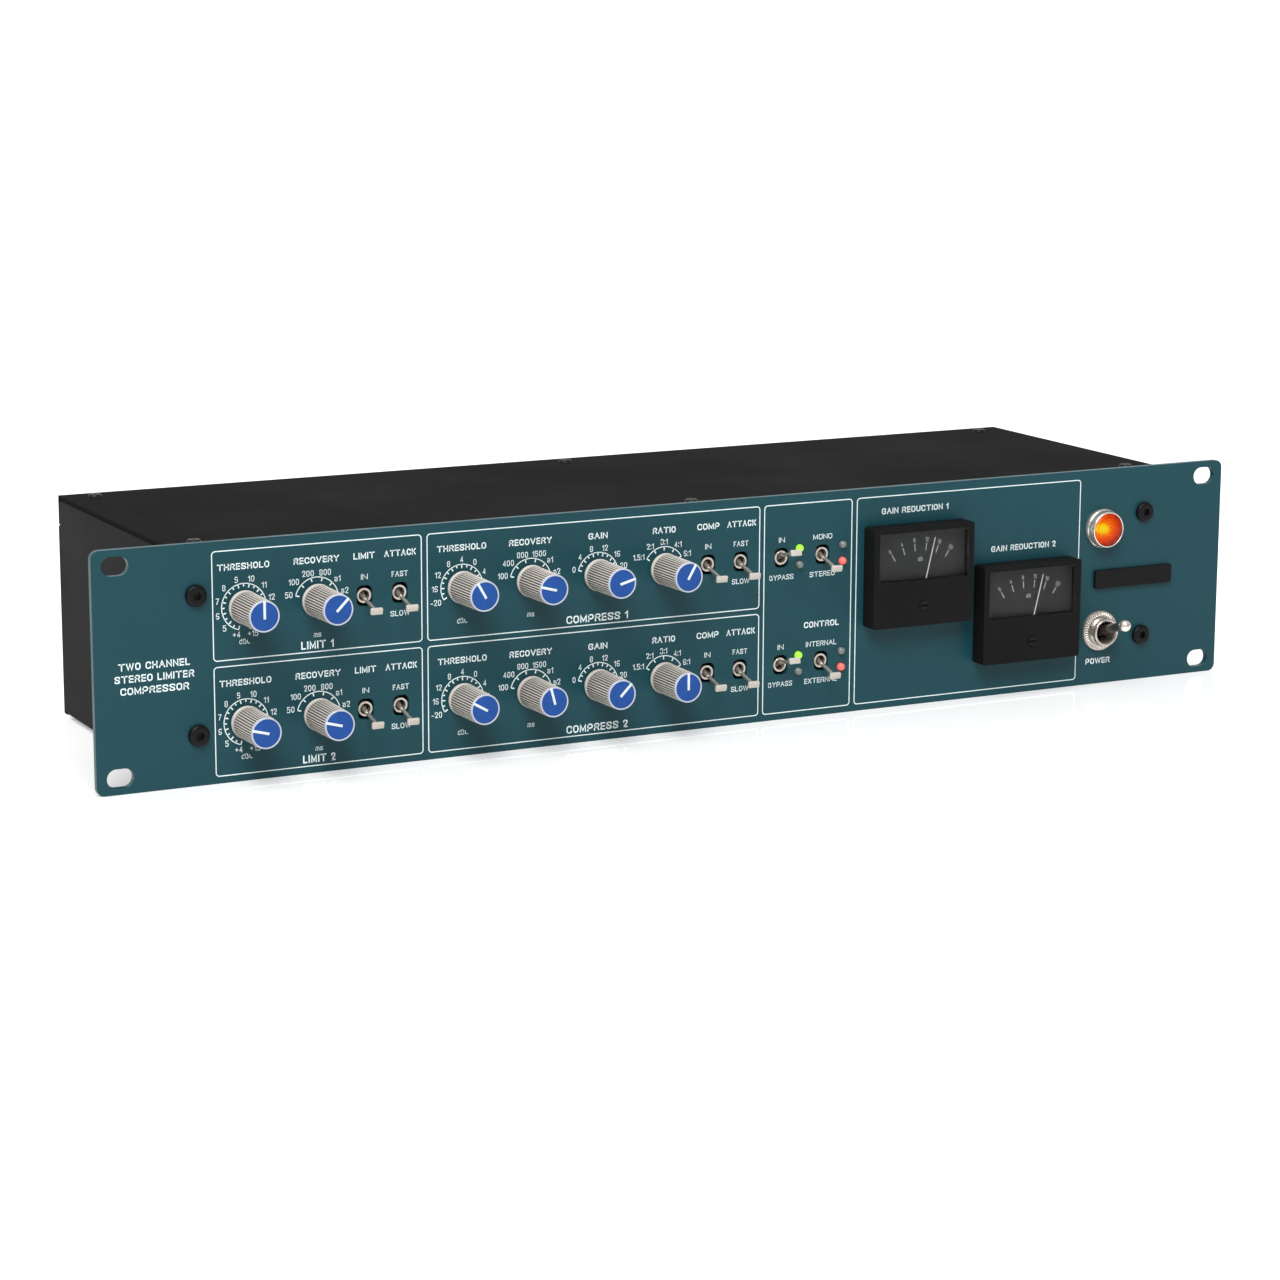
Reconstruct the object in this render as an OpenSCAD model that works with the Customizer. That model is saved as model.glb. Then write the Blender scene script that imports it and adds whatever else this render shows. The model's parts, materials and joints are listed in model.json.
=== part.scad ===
// Two-unit rack compressor: stereo limiter and compressor with needle meters.
// X runs to the right seen from the front, Y runs into the case, Z is up.
// The origin is the centre of the four rack slots, on the back face of the front panel.

/* [Rack panel] */
// Width of the front panel
panel_w = 482.6; // [480:0.1:484]
// Height of the front panel, two rack units
panel_h = 88.1; // [88:0.1:88.9]
// Thickness of the front panel
panel_t = 2.5; // [2:0.1:3]
// Corner radius of the front panel
panel_corner_r = 3; // [1:0.5:4]
// Sideways distance between the rack slots
slot_pitch_x = 465.1; // [464:0.1:466]
// Upright distance between the rack slots
slot_pitch_z = 76.2; // [76:0.1:76.4]
// Length of a rack slot
slot_l = 10; // [9:0.5:11]
// Width of a rack slot
slot_w = 7; // [6.5:0.1:7.2]

/* [Case] */
// Width of the case
case_w = 424.5; // [422:0.5:430]
// Height of the case with its cover
case_h = 86.1; // [85:0.1:87]
// Depth of the case behind the front panel
case_d = 124.5; // [122:0.5:140]
// Thickness of the case sheet
sheet_t = 1.2; // [1:0.1:1.5]
// Outside radius of the sheet's bends
bend_r = 2; // [1.6:0.1:2.5]
// Width of the flanges folded inwards
flange_w = 12; // [11:0.5:13]
// Height of the cover's rear lip
cover_lip_h = 11; // [9:0.5:13]

/* [Knobs] */
// Height of the upper row of controls above the panel's centre line
upper_row_z = 19.75; // [19:0.25:21]
// Height of the lower row of controls
lower_row_z = -22.35; // [-23:0.05:-21]
// Distance between neighbouring knobs
knob_pitch = 27.9; // [27.5:0.1:28.2]
// Place of the first limiter knob
limit_knob_x = -185; // [-186:0.5:-184]
// Place of the first compressor knob
compress_knob_x = -100; // [-101:0.5:-99]
// Diameter of a knob at its skirt
knob_d = 12.2; // [11.5:0.1:13]
// Height of a knob's front above the panel
knob_proud = 20.5; // [18:0.5:22]
// Number of ribs round a knob
rib_count = 38; // [36:2:60]
// Diameter of a control's shaft
shaft_d = 6; // [5.8:0.1:6.2]

/* [Toggle switches] */
// Angle of a lever from straight out
lever_tilt = 14; // [12:0.5:15]
// Height of a lever's end above the panel
lever_proud = 11.8; // [11:0.1:13]
// Width of the panel hole around a lever
lever_hole_w = 6.2; // [6:0.1:6.5]
// Height of the panel hole around a lever
lever_hole_h = 7.7; // [7.5:0.1:8]
// Angle of the power lever from straight out
power_tilt = 16; // [14:0.5:18]
// Height of the power lever's end above the panel
power_proud = 20.7; // [18:0.1:21]

/* [Meters] */
// Width of a meter
meter_w = 45.6; // [45:0.1:46.5]
// Height of a meter
meter_h = 39.7; // [39:0.1:40.5]
// Height of a meter's front above the panel
meter_proud = 8; // [8:0.5:9]
// Width of the frame around the meter's window
meter_frame = 2.2; // [2:0.1:2.5]
// Height of a meter's window
window_h = 19; // [18:0.5:20]
// Distance from the needle's pivot to its tip
needle_l = 27; // [25:0.5:28]
// Angle of the needles from upright
needle_angle = 13.7; // [-30:0.1:30]

/* [Rear connectors] */
// Height of the rear connectors' centres
rear_z = -5; // [-7:0.5:-3]
// Width of an audio socket's flange
socket_w = 26; // [26:0.5:27]
// Height of an audio socket's flange
socket_h = 31; // [31:0.5:32]
// Diameter of a jack socket's bore
jack_bore_d = 6.5; // [6.4:0.05:6.6]

/* [Hidden] */
$fn = 48;
// Radial gap of a shaft that turns in its bearing
running_gap = 0.05;
// Length by which a cutting shape passes a face
cut = 1;

row_z = [upper_row_z, lower_row_z];
limit_x = [limit_knob_x, limit_knob_x + knob_pitch];
compress_x = [for (i = [0 : 3]) compress_knob_x + i * knob_pitch];

// Each knob: its name, sideways place, row and the angle that its pointer is set to, clockwise from up
KNOBS = [
    ["limit_1_threshold_knob", limit_x[0], 0, 0],
    ["limit_1_recovery_knob", limit_x[1], 0, 45],
    ["limit_2_threshold_knob", limit_x[0], 1, -75],
    ["limit_2_recovery_knob", limit_x[1], 1, -75],
    ["compress_1_threshold_knob", compress_x[0], 0, -30],
    ["compress_1_recovery_knob", compress_x[1], 0, -75],
    ["compress_1_gain_knob", compress_x[2], 0, 75],
    ["compress_1_ratio_knob", compress_x[3], 0, 30],
    ["compress_2_threshold_knob", compress_x[0], 1, -60],
    ["compress_2_recovery_knob", compress_x[1], 1, -15],
    ["compress_2_gain_knob", compress_x[2], 1, 45],
    ["compress_2_ratio_knob", compress_x[3], 1, 0]
];

// Each small toggle: its name, sideways place, row and which way its lever points, 1 up and -1 down
TOGGLES = [
    ["limit_1_in_lever", -138.6, 0, -1],
    ["limit_1_attack_lever", -124.7, 0, -1],
    ["limit_2_in_lever", -138.6, 1, -1],
    ["limit_2_attack_lever", -124.7, 1, -1],
    ["compress_1_in_lever", 2.6, 0, -1],
    ["compress_1_attack_lever", 16.8, 0, -1],
    ["compress_2_in_lever", 2.6, 1, -1],
    ["compress_2_attack_lever", 16.8, 1, -1],
    ["bypass_1_lever", 34.7, 0, 1],
    ["bypass_2_lever", 34.7, 1, 1],
    ["stereo_lever", 52.8, 0, -1],
    ["control_lever", 52.8, 1, -1]
];

// Each meter: its number, and the place of its centre
METERS = [
    [1, [94.3, 9.25]],
    [2, [145.35, -9.75]]
];

knob_places = [for (k = KNOBS) [k[1], row_z[k[2]]]];
toggle_places = [for (t = TOGGLES) [t[1], row_z[t[2]]]];
meter_places = [for (m = METERS) m[1]];

// Front panel fasteners
panel_screw_r = 2;
panel_screw_places = [for (x = [-203.2, 203.2], z = [-25.4, 25.4]) [x, z]];

// Knobs and the controls behind them
shaft_r = shaft_d / 2;
knob_gap = 0.6;
skirt_h = 1.5;
rib_depth = 0.35;
rim_h = 0.9;
cap_r = 5.1;
cap_t = 1;
pointer_w = 1;
pointer_h = 0.15;
pointer_span = [-1, 5.7];
bushing_r = 3.8;
pot_w = 16;
pot_h = 17;
pot_y = 11;
board_y = 20;
board_t = 1.6;

// Small toggle switches
pivot_y = 1.5;
lever_r = 0.8;
lever_ball_r = 1.7;
lever_bore_r = 2.05;
lever_bushing_r = 2.75;
lever_pin_r = 0.5;
lever_tail = 3.5;
lever_tail_r = 0.6;
lever_l = (lever_proud + panel_t + pivot_y) / cos(lever_tilt);
lever_end_r = 0.5;
tip_w = 4.6;
tip_h = 2.4;
tip_l = 1.4;
tip_corner_r = 0.6;
toggle_w = 7;
toggle_h = 12.7;
toggle_y = 5;

// Power switch
power_place = [182.9, -21.95];
power_pivot_y = -3;
power_bushing_r = 5.8;
power_bushing_proud = 6;
power_bore_r = 4.4;
power_pin_r = 0.8;
power_nut_r = 8.2;
power_nut_t = 2;
power_ball_r = 2.4;
power_root_r = 2;
power_neck_r = 1.5;
power_l = (power_proud + panel_t + power_pivot_y) / cos(power_tilt) - power_ball_r;

// Indicators, lamp and badge
led_r = 1.5;
led_x = [42.5, 61.7];
led_dz = 3.2;
led_places = [for (x = led_x, z = row_z, s = [-1, 1]) [x, z + s * led_dz]];
lamp_place = [182.9, 20.15];
lamp_tail_r = 6;
lamp_lens_r = 6.6;
lamp_floor_h = 1;
lamp_ring_h = 5.2;
badge_place = [198.3, -0.8];

// Meter insides, as heights above the panel's face
meter_front_t = 1.5;
meter_wall_t = 1.8;
window_w = meter_w - 2 * (meter_frame + 0.2);
window_v = meter_h / 2 - meter_frame - window_h / 2;
glass_t = 1.6;
dial_top = 4.7;
dial_t = 0.5;
needle_at = 5.2;
needle_t = 0.25;
hub_back = needle_at - 0.25;
hub_front = needle_at + 0.35;
needle_w = 0.5;
pivot_drop = 11.85;
pivot_r = 0.6;
hub_r = 2.4;
counterweight_r = 1.5;
counterweight_at = 4.2;
zero_screw_r = 1.95;
zero_flange_r = 2.6;
movement_r = 14.8;
movement_drop = 2;

// Case levels
case_bottom = -case_h / 2;
case_top = case_h / 2;
cover_z = case_top - sheet_t;
rear_t = 1.5;
rear_y = case_d - rear_t;
lip_z = case_top - cover_lip_h;
floor_z = case_bottom + sheet_t;
cover_screw_places = [for (x = [-200, 0, 200], y = [6.5, 116.5]) [x, y]];
rear_screw_places = [for (x = [-206, 206], z = [-30, 20]) [x, z]];
case_screw_r = 1.5;

// Rear connectors
input_x = [-165, -125];
output_x = [-80, -40];
jack_x = [5, 32];
inlet_place = [165, rear_z];
socket_flange_t = 2;
socket_r = 11.8;
socket_cavity_r = 9.4;
socket_screw_offset = [9.5, 12];
contact_places = [for (a = [30, 150, 270]) 3.9 * [cos(a), sin(a)]];
latch_place_z = 12.2;
latch_w = 7;
latch_h = 3;
latch_gap = 0.35;
latch_travel = 2;
jack_r = 5.6;
inlet_w = 28.5;
drawer_w = 22;
drawer_h = 7.4;
drawer_drop = 9.25;
drawer_gap = 0.35;

// Boards and what stands on them
main_board_z = -34.6;
main_board_x = [-190, 95];
main_board_y = [30, 100];
toroid_place = [138, 62];

// Y of a plane that lies a height h in front of the panel's face
function proud(h) = -panel_t - h;

// Points of a round outline with teeth
function toothed(n, r_tip, r_root) = [
    for (i = [0 : 2 * n - 1])
        let (r = i % 2 == 0 ? r_tip : r_root, a = i * 180 / n)
        [r * cos(a), r * sin(a)]
];

// Moves children to a place on the X Z plane
module at(place) {
    translate([place[0], 0, place[1]]) children();
}

// Extrudes an X Z outline from y0 to y1
module between(y0, y1) {
    translate([0, y1, 0]) rotate([90, 0, 0]) linear_extrude(y1 - y0) children();
}

// Round bar along Y
module rod(y0, y1, r) {
    translate([0, y0, 0]) rotate([-90, 0, 0]) cylinder(h = y1 - y0, r = r);
}

// Extrudes an outline from height h0 to h1 above the panel's face
module slab(h0, h1) {
    between(proud(h1), proud(h0)) children();
}

// Round bar from height h0 to h1 above the panel's face
module peg(h0, h1, r) {
    rod(proud(h1), proud(h0), r);
}

// Round bar along X, centred
module cross_pin(l, r) {
    rotate([0, 90, 0]) cylinder(h = l, r = r, center = true);
}

module rounded_rect(w, h, r) {
    square([w - 2 * r, h], center = true);
    square([w, h - 2 * r], center = true);
    for (x = [-1, 1], z = [-1, 1])
        translate([x * (w / 2 - r), z * (h / 2 - r)]) circle(r = r);
}

// A slotted hole that runs sideways
module rack_slot() {
    for (x = [-1, 1])
        translate([x * (slot_l - slot_w) / 2, 0, 0]) rod(-panel_t - cut, cut, slot_w / 2);
    translate([-(slot_l - slot_w) / 2, -panel_t - cut, -slot_w / 2])
        cube([slot_l - slot_w, panel_t + 2 * cut, slot_w]);
}

module front_panel() {
    color("#2b535d")
    difference() {
        between(-panel_t, 0) rounded_rect(panel_w, panel_h, panel_corner_r);
        for (x = [-1, 1], z = [-1, 1])
            at([x * slot_pitch_x / 2, z * slot_pitch_z / 2]) rack_slot();
        for (p = panel_screw_places)
            at(p) rod(-panel_t - cut, cut, panel_screw_r + 0.2);
        for (p = knob_places)
            at(p) rod(-panel_t - cut, cut, bushing_r + 0.1);
        for (p = toggle_places)
            at(p) between(-panel_t - cut, cut) rounded_rect(lever_hole_w, lever_hole_h, 2.2);
        for (p = led_places)
            at(p) rod(-panel_t - cut, cut, led_r + 0.1);
        for (p = meter_places)
            at([p[0], p[1] - movement_drop]) rod(-panel_t - cut, cut, movement_r + 0.3);
        at(lamp_place) rod(-panel_t - cut, cut, lamp_tail_r + 0.1);
        at(power_place) rod(-panel_t - cut, cut, power_bushing_r + 0.1);
    }
}

// Folded tube of sheet, open at the front, back and most of the top
module chassis_tray() {
    tube_h = case_h - sheet_t;
    inner_r = bend_r - sheet_t;
    strip_x = case_w / 2 - sheet_t - flange_w;
    color("#26272a")
    difference() {
        union() {
            translate([0, 0, -sheet_t / 2])
            between(0, rear_y)
            difference() {
                rounded_rect(case_w, tube_h, bend_r);
                rounded_rect(case_w - 2 * sheet_t, tube_h - 2 * sheet_t, inner_r);
            }
            for (x = [-1, 1], y = [0, rear_y - sheet_t])
                translate([x * (strip_x + flange_w / 2), y + sheet_t / 2, -sheet_t / 2])
                cube([flange_w, sheet_t, tube_h - 2 * sheet_t], center = true);
            for (x = [-1, 1])
                at([x * (strip_x - 2), -sheet_t / 2])
                between(0, sheet_t) square([4, tube_h - 2 * sheet_t], center = true);
        }
        translate([-strip_x, flange_w, cover_z - 2 * sheet_t])
            cube([2 * strip_x, rear_y - 2 * flange_w, 3 * sheet_t]);
        for (p = panel_screw_places)
            at(p) rod(-cut, sheet_t + cut, panel_screw_r);
        for (p = rear_screw_places)
            at(p) rod(rear_y - sheet_t - cut, rear_y + cut, case_screw_r);
        for (p = cover_screw_places)
            translate([p[0], p[1], cover_z - sheet_t - cut])
            cylinder(h = sheet_t + 2 * cut, r = case_screw_r);
    }
}

module rear_panel() {
    h = lip_z - case_bottom - 0.4;
    color("#26272a")
    difference() {
        at([0, case_bottom + h / 2]) between(rear_y, case_d) rounded_rect(case_w, h, 1);
        for (x = concat(input_x, output_x)) {
            at([x, rear_z]) rod(rear_y - cut, case_d + cut, socket_r + 0.1);
            for (s = [-1, 1])
                at([x + s * socket_screw_offset[0], rear_z - s * socket_screw_offset[1]])
                rod(rear_y - cut, case_d + cut, case_screw_r);
        }
        for (x = input_x)
            at([x, rear_z + latch_place_z])
            between(rear_y - cut, case_d + cut) square([latch_w + 1.4, latch_h + 1.4], center = true);
        for (x = jack_x)
            at([x, rear_z]) rod(rear_y - cut, case_d + cut, jack_r + 0.1);
        at(inlet_place)
            between(rear_y - cut, case_d + cut) square(inlet_w + 0.2, center = true);
        for (s = [-1, 1])
            at([inlet_place[0] + s * 20, inlet_place[1]]) rod(rear_y - cut, case_d + cut, case_screw_r);
        for (p = rear_screw_places)
            at(p) rod(rear_y - cut, case_d + cut, case_screw_r + 0.1);
    }
}

// Flat lid with a lip down its rear edge
module top_cover() {
    lip_inset = 0.4;
    color("#2a2b2e")
    difference() {
        union() {
            translate([-case_w / 2, 0.3, cover_z]) cube([case_w, case_d - lip_inset - 0.3, sheet_t]);
            translate([-case_w / 2, rear_y, lip_z])
                cube([case_w, rear_t - lip_inset, cover_lip_h - sheet_t / 2]);
        }
        for (p = cover_screw_places)
            translate([p[0], p[1], cover_z - cut])
            cylinder(h = sheet_t + 2 * cut, r = case_screw_r + 0.1);
    }
}

// Button-head screws that hold the panel to the case
module panel_screws() {
    head_r = 4;
    head_h = 2.2;
    color("#1b1c1e")
    for (p = panel_screw_places)
        at(p)
        difference() {
            union() {
                peg(0, head_h * 0.6, head_r);
                translate([0, proud(head_h * 0.6), 0]) rotate([90, 0, 0])
                    cylinder(h = head_h * 0.4, r1 = head_r, r2 = head_r * 0.8);
                rod(-panel_t, 6, panel_screw_r);
            }
            slab(head_h - 1.3, head_h + cut) circle(r = 1.45, $fn = 6);
        }
}

// Pan head screw that points down, with its head on z = 0
module case_screw(shank_l) {
    head_r = 2.7;
    head_h = 0.8;
    difference() {
        union() {
            cylinder(h = head_h, r1 = head_r, r2 = head_r * 0.8);
            translate([0, 0, -shank_l]) cylinder(h = shank_l, r = case_screw_r);
        }
        for (a = [0, 90])
            rotate([0, 0, a]) translate([0, 0, head_h]) cube([2.8, 0.5, head_h], center = true);
    }
}

// Screws of the cover, rear panel and rear connectors
module case_screws() {
    socket_face = case_d + socket_flange_t;
    color("#303134") {
        for (p = cover_screw_places)
            translate([p[0], p[1], case_top]) case_screw(6);
        for (p = rear_screw_places)
            translate([p[0], case_d, p[1]]) rotate([-90, 0, 0]) case_screw(6);
        for (x = concat(input_x, output_x), s = [-1, 1])
            translate([x + s * socket_screw_offset[0], socket_face, rear_z - s * socket_screw_offset[1]])
            rotate([-90, 0, 0]) case_screw(7);
        for (s = [-1, 1])
            translate([inlet_place[0] + s * 20, case_d + 2.5, inlet_place[1]])
            rotate([-90, 0, 0]) case_screw(7);
    }
}

// A knob: ribbed grip, cap with a pointer, and the shaft that it turns
module knob(place, angle) {
    rib_r = knob_d / 2 - 0.35;
    rim_r = rib_r + 0.1;
    shaft_front = knob_proud - 2;
    pointer_l = pointer_span[1] - pointer_span[0];
    at(place) rotate([0, angle, 0]) {
        color("#aaa59e")
        difference() {
            union() {
                peg(knob_gap, knob_gap + skirt_h, knob_d / 2);
                slab(knob_gap + skirt_h, knob_proud - rim_h)
                    polygon(toothed(rib_count, rib_r, rib_r - rib_depth));
                peg(knob_proud - rim_h, knob_proud, rim_r);
            }
            peg(knob_gap - cut, shaft_front, shaft_r);
            peg(knob_proud - cap_t, knob_proud + cut, cap_r);
        }
        color("#2855be") peg(knob_proud - cap_t, knob_proud, cap_r);
        color("#e6e6dc")
            slab(knob_proud, knob_proud + pointer_h)
            translate([0, pointer_span[0] + pointer_l / 2]) square([pointer_w, pointer_l], center = true);
        color("#b9bcc0") rod(proud(shaft_front), board_y - 2, shaft_r);
    }
}

// Potentiometers and rotary switches behind the knobs
module control_pots() {
    bushing_front = -1.5;
    color("#5d6066")
    for (p = knob_places)
        at(p)
        difference() {
            union() {
                between(pot_y, board_y) rounded_rect(pot_w, pot_h, 1);
                rod(bushing_front, pot_y, bushing_r);
            }
            rod(bushing_front - cut, board_y - 1.5, shaft_r + running_gap);
        }
}

// A small lever on its pivot pin, with a flat plastic paddle moulded on its end
module toggle_lever(place, up) {
    tip_back = lever_l - tip_l;
    at(place) translate([0, pivot_y, 0]) rotate([-up * lever_tilt, 0, 0]) {
        color("#c9cbcd") {
            rotate([90, 0, 0]) cylinder(h = tip_back + tip_l / 2, r1 = lever_r, r2 = lever_end_r);
            rod(-lever_tail_r, lever_tail, lever_tail_r);
            rotate([0, 0, 45]) sphere(r = lever_ball_r);
            cross_pin(2 * lever_bushing_r - 0.3, lever_pin_r);
        }
        color("#d6d5d1")
            between(-lever_l, -tip_back) rounded_rect(tip_w, tip_h, tip_corner_r);
    }
}

module toggle_switch_bodies() {
    bushing_front = -2;
    bore_back = pivot_y + lever_tail + 1.2;
    color("#b8babd")
    for (p = toggle_places)
        at(p)
        difference() {
            union() {
                rod(bushing_front, toggle_y, lever_bushing_r);
                between(toggle_y, board_y) square([toggle_w, toggle_h], center = true);
            }
            rod(bushing_front - cut, bore_back, lever_bore_r);
            translate([0, pivot_y, 0]) cross_pin(4 * lever_bushing_r, lever_pin_r + running_gap);
        }
}

// Bat-shaped lever of the power switch
module power_lever() {
    color("#d2d4d6")
    at(power_place) translate([0, power_pivot_y, 0]) rotate([-power_tilt, 0, 0]) {
        rotate([90, 0, 0]) cylinder(h = power_l, r1 = power_root_r, r2 = power_neck_r);
        translate([0, -power_l, 0]) sphere(r = power_ball_r);
        rotate([0, 0, 45]) sphere(r = power_root_r + 0.5);
        cross_pin(2 * power_bushing_r - 0.8, power_pin_r);
    }
}

module power_switch_body() {
    body_w = 14;
    body_h = 28;
    body_d = 26;
    color("#b4b6b8")
    at(power_place)
    difference() {
        union() {
            peg(-panel_t, power_bushing_proud, power_bushing_r);
            between(0, body_d) rounded_rect(body_w, body_h, 1);
        }
        rod(proud(power_bushing_proud) - cut, 3, power_bore_r);
        translate([0, power_pivot_y, 0])
            cross_pin(4 * power_bushing_r, power_pin_r + running_gap);
    }
}

// Serrated dress nut of the power switch
module power_switch_nut() {
    color("#c8cacc")
    at(power_place)
    difference() {
        slab(0, power_nut_t) polygon(toothed(40, power_nut_r, power_nut_r - 0.45));
        peg(-cut, power_nut_t + cut, power_bushing_r);
    }
}

// Round-nosed light-emitting diodes beside the levers
module indicator_leds() {
    dome_at = 0.4;
    color("#9a9a98")
    for (p = led_places)
        at(p) {
            peg(-board_y - panel_t + 9, dome_at, led_r);
            translate([0, proud(dome_at), 0]) sphere(r = led_r);
            peg(-board_y - panel_t, -board_y - panel_t + 9, 0.5);
        }
}

// Stepped ring that holds the pilot lamp's jewel
module lamp_bezel() {
    color("#cfd1d3")
    at(lamp_place)
    difference() {
        union() {
            peg(0, 2, 8);
            peg(2, lamp_ring_h, 7.4);
            rod(-panel_t, 18, lamp_tail_r);
        }
        peg(lamp_floor_h, lamp_ring_h + cut, lamp_lens_r);
    }
}

module lamp_jewel() {
    color("#f0500a")
    at(lamp_place) {
        peg(lamp_floor_h, lamp_ring_h - 0.2, lamp_lens_r);
        translate([0, proud(lamp_ring_h - 0.2), 0]) rotate([90, 0, 0])
            cylinder(h = 1.5, r1 = lamp_lens_r - 0.3, r2 = 3.6);
    }
}

module name_badge() {
    color("#141516")
    at(badge_place) slab(0, 1.5) rounded_rect(37.2, 7.5, 0.8);
}

// Moulded meter housings, open behind
module meter_cases() {
    front_back = meter_proud - meter_front_t;
    color("#202022")
    for (p = meter_places)
        at(p)
        difference() {
            slab(0, meter_proud) rounded_rect(meter_w, meter_h, 1.2);
            slab(-cut, front_back)
                square([meter_w - 2 * meter_wall_t, meter_h - 2 * meter_wall_t], center = true);
            slab(front_back - cut, meter_proud + cut)
                translate([0, window_v]) square([window_w, window_h], center = true);
            at([0, -pivot_drop]) peg(front_back - cut, meter_proud + cut, zero_screw_r + running_gap);
        }
}

module meter_windows() {
    back = meter_proud - meter_front_t;
    color("#dfe8ea", 0.35)
    for (p = meter_places)
        at([p[0], p[1] + window_v])
        slab(back, back + glass_t) square([window_w, window_h], center = true);
}

// Dial plates, with a hole for the needle's staff
module meter_dials() {
    dial_w = meter_w - 2 * meter_wall_t - 1;
    dial_h = meter_h - 2 * meter_wall_t - 1;
    color("#2d2d2f")
    for (p = meter_places)
        at(p)
        difference() {
            slab(dial_top - dial_t, dial_top) square([dial_w, dial_h], center = true);
            at([0, -pivot_drop]) peg(0, dial_top + cut, 1.2);
        }
}

// Moving-coil movements with their bearings and rear terminals
module meter_movements() {
    back = 15;
    color("#7b7d80")
    for (p = meter_places)
        at(p) {
            difference() {
                at([0, -movement_drop])
                    between(proud(dial_top - dial_t), back) circle(r = movement_r);
                at([0, -pivot_drop]) peg(-8, dial_top, pivot_r + running_gap);
            }
            for (x = [-8, 8])
                at([x, -movement_drop]) rod(back, back + 6, 1.5);
        }
}

// Needle on its staff, balanced by a small weight
module needle(place) {
    color("#d8d8d4")
    at([place[0], place[1] - pivot_drop]) rotate([0, needle_angle, 0]) {
        peg(-7, hub_front, pivot_r);
        peg(hub_back, hub_front, hub_r);
        slab(needle_at, needle_at + needle_t)
            translate([0, needle_l / 2]) square([needle_w, needle_l], center = true);
        slab(needle_at, needle_at + needle_t)
            translate([0, -counterweight_at / 2]) square([1, counterweight_at], center = true);
        at([0, -counterweight_at]) peg(hub_back, hub_front, counterweight_r);
    }
}

// Slotted screw in the housing that sets the needle's zero
module zero_screw(place) {
    head_top = meter_proud + 0.3;
    flange_back = hub_front + 0.25;
    color("#3a3a3c")
    at([place[0], place[1] - pivot_drop])
    difference() {
        union() {
            peg(flange_back, head_top, zero_screw_r);
            peg(flange_back, flange_back + 0.5, zero_flange_r);
        }
        slab(head_top - 0.8, head_top + cut) square([2 * zero_flange_r, 0.7], center = true);
    }
}

// Board that carries the controls
module control_board() {
    color("#1f4d2c")
    at([-64, 0])
    difference() {
        between(board_y, board_y + board_t) square([270, 70], center = true);
        for (x = [-130, 0, 130], z = [-31, 31])
            at([x, z]) rod(board_y - cut, board_y + board_t + cut, 1.6);
    }
}

module main_board() {
    size = [main_board_x[1] - main_board_x[0], main_board_y[1] - main_board_y[0], board_t];
    color("#1f4d2c")
    translate([main_board_x[0], main_board_y[0], main_board_z]) cube(size);
}

// Spacers under the main board
module board_standoffs() {
    color("#b9a15c")
    for (x = [main_board_x[0] + 6, -47, main_board_x[1] - 6], y = [main_board_y[0] + 6, main_board_y[1] - 6])
        translate([x, y, floor_z])
        cylinder(h = main_board_z - floor_z, r = 3);
}

// Laminated input and output transformers with their windings
module audio_transformers() {
    core = [34, 14, 28];
    winding = [22, 28, 18];
    base_z = main_board_z + board_t;
    color("#8a6a3f")
    for (x = [-160, -115, -70, -25])
        translate([x, 62, base_z + core[2] / 2]) {
            cube(core, center = true);
            cube(winding, center = true);
        }
}

module filter_capacitors() {
    color("#23395c")
    for (x = [20, 42, 64], y = [48, 72])
        translate([x, y, main_board_z + board_t]) cylinder(h = 30, r = 8);
}

// Ring transformer, its clamping washer and its bolt
module mains_transformer() {
    ring_r = 36;
    ring_hole_r = 12;
    ring_h = 32;
    edge_r = 5;
    ring_w = ring_r - ring_hole_r;
    bolt_r = 3;
    translate([toroid_place[0], toroid_place[1], floor_z]) {
        color("#9b8a3a")
            rotate_extrude($fn = 64)
            translate([(ring_r + ring_hole_r) / 2, ring_h / 2]) rounded_rect(ring_w, ring_h, edge_r);
        color("#b4b6b8") {
            difference() {
                translate([0, 0, ring_h]) cylinder(h = 2, r = 26);
                translate([0, 0, ring_h - cut]) cylinder(h = 2 + 2 * cut, r = bolt_r);
            }
            cylinder(h = ring_h + 2, r = bolt_r);
            translate([0, 0, ring_h + 2]) cylinder(h = 4, r = 5.5, $fn = 6);
        }
    }
}

// Input sockets: a flange and a barrel, with the round contact block in the ring-shaped gap that the plug enters
module input_sockets() {
    face = case_d + socket_flange_t;
    back = case_d - 22;
    gap_depth = 12;
    block_r = 7.6;
    seat_gap = 0.15;
    contact_r = 1.4;
    contact_depth = 9;
    color("#3a3b3e")
    for (x = input_x)
        at([x, rear_z]) {
            difference() {
                union() {
                    between(case_d, face) rounded_rect(socket_w, socket_h, 2);
                    rod(back, case_d, socket_r);
                }
                rod(face - gap_depth, face + cut, socket_cavity_r);
                at([0, latch_place_z])
                    between(face - 9, face + cut)
                    square([latch_w + 2 * latch_gap, latch_h + 2 * latch_gap], center = true);
                for (s = [-1, 1])
                    at(s * [socket_screw_offset[0], -socket_screw_offset[1]])
                    rod(case_d - cut, face + cut, case_screw_r);
            }
            difference() {
                rod(face - gap_depth + seat_gap, face - 0.5, block_r);
                for (p = contact_places)
                    at(p) between(face - contact_depth, face) circle(r = contact_r, $fn = 6);
            }
        }
}

// Sprung button that frees the plug
module input_latch(x) {
    face = case_d + socket_flange_t;
    color("#c4c6c8")
    at([x, rear_z + latch_place_z])
    between(face - 9 + latch_travel + 0.4, face + 2.4) square([latch_w, latch_h], center = true);
}

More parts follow.
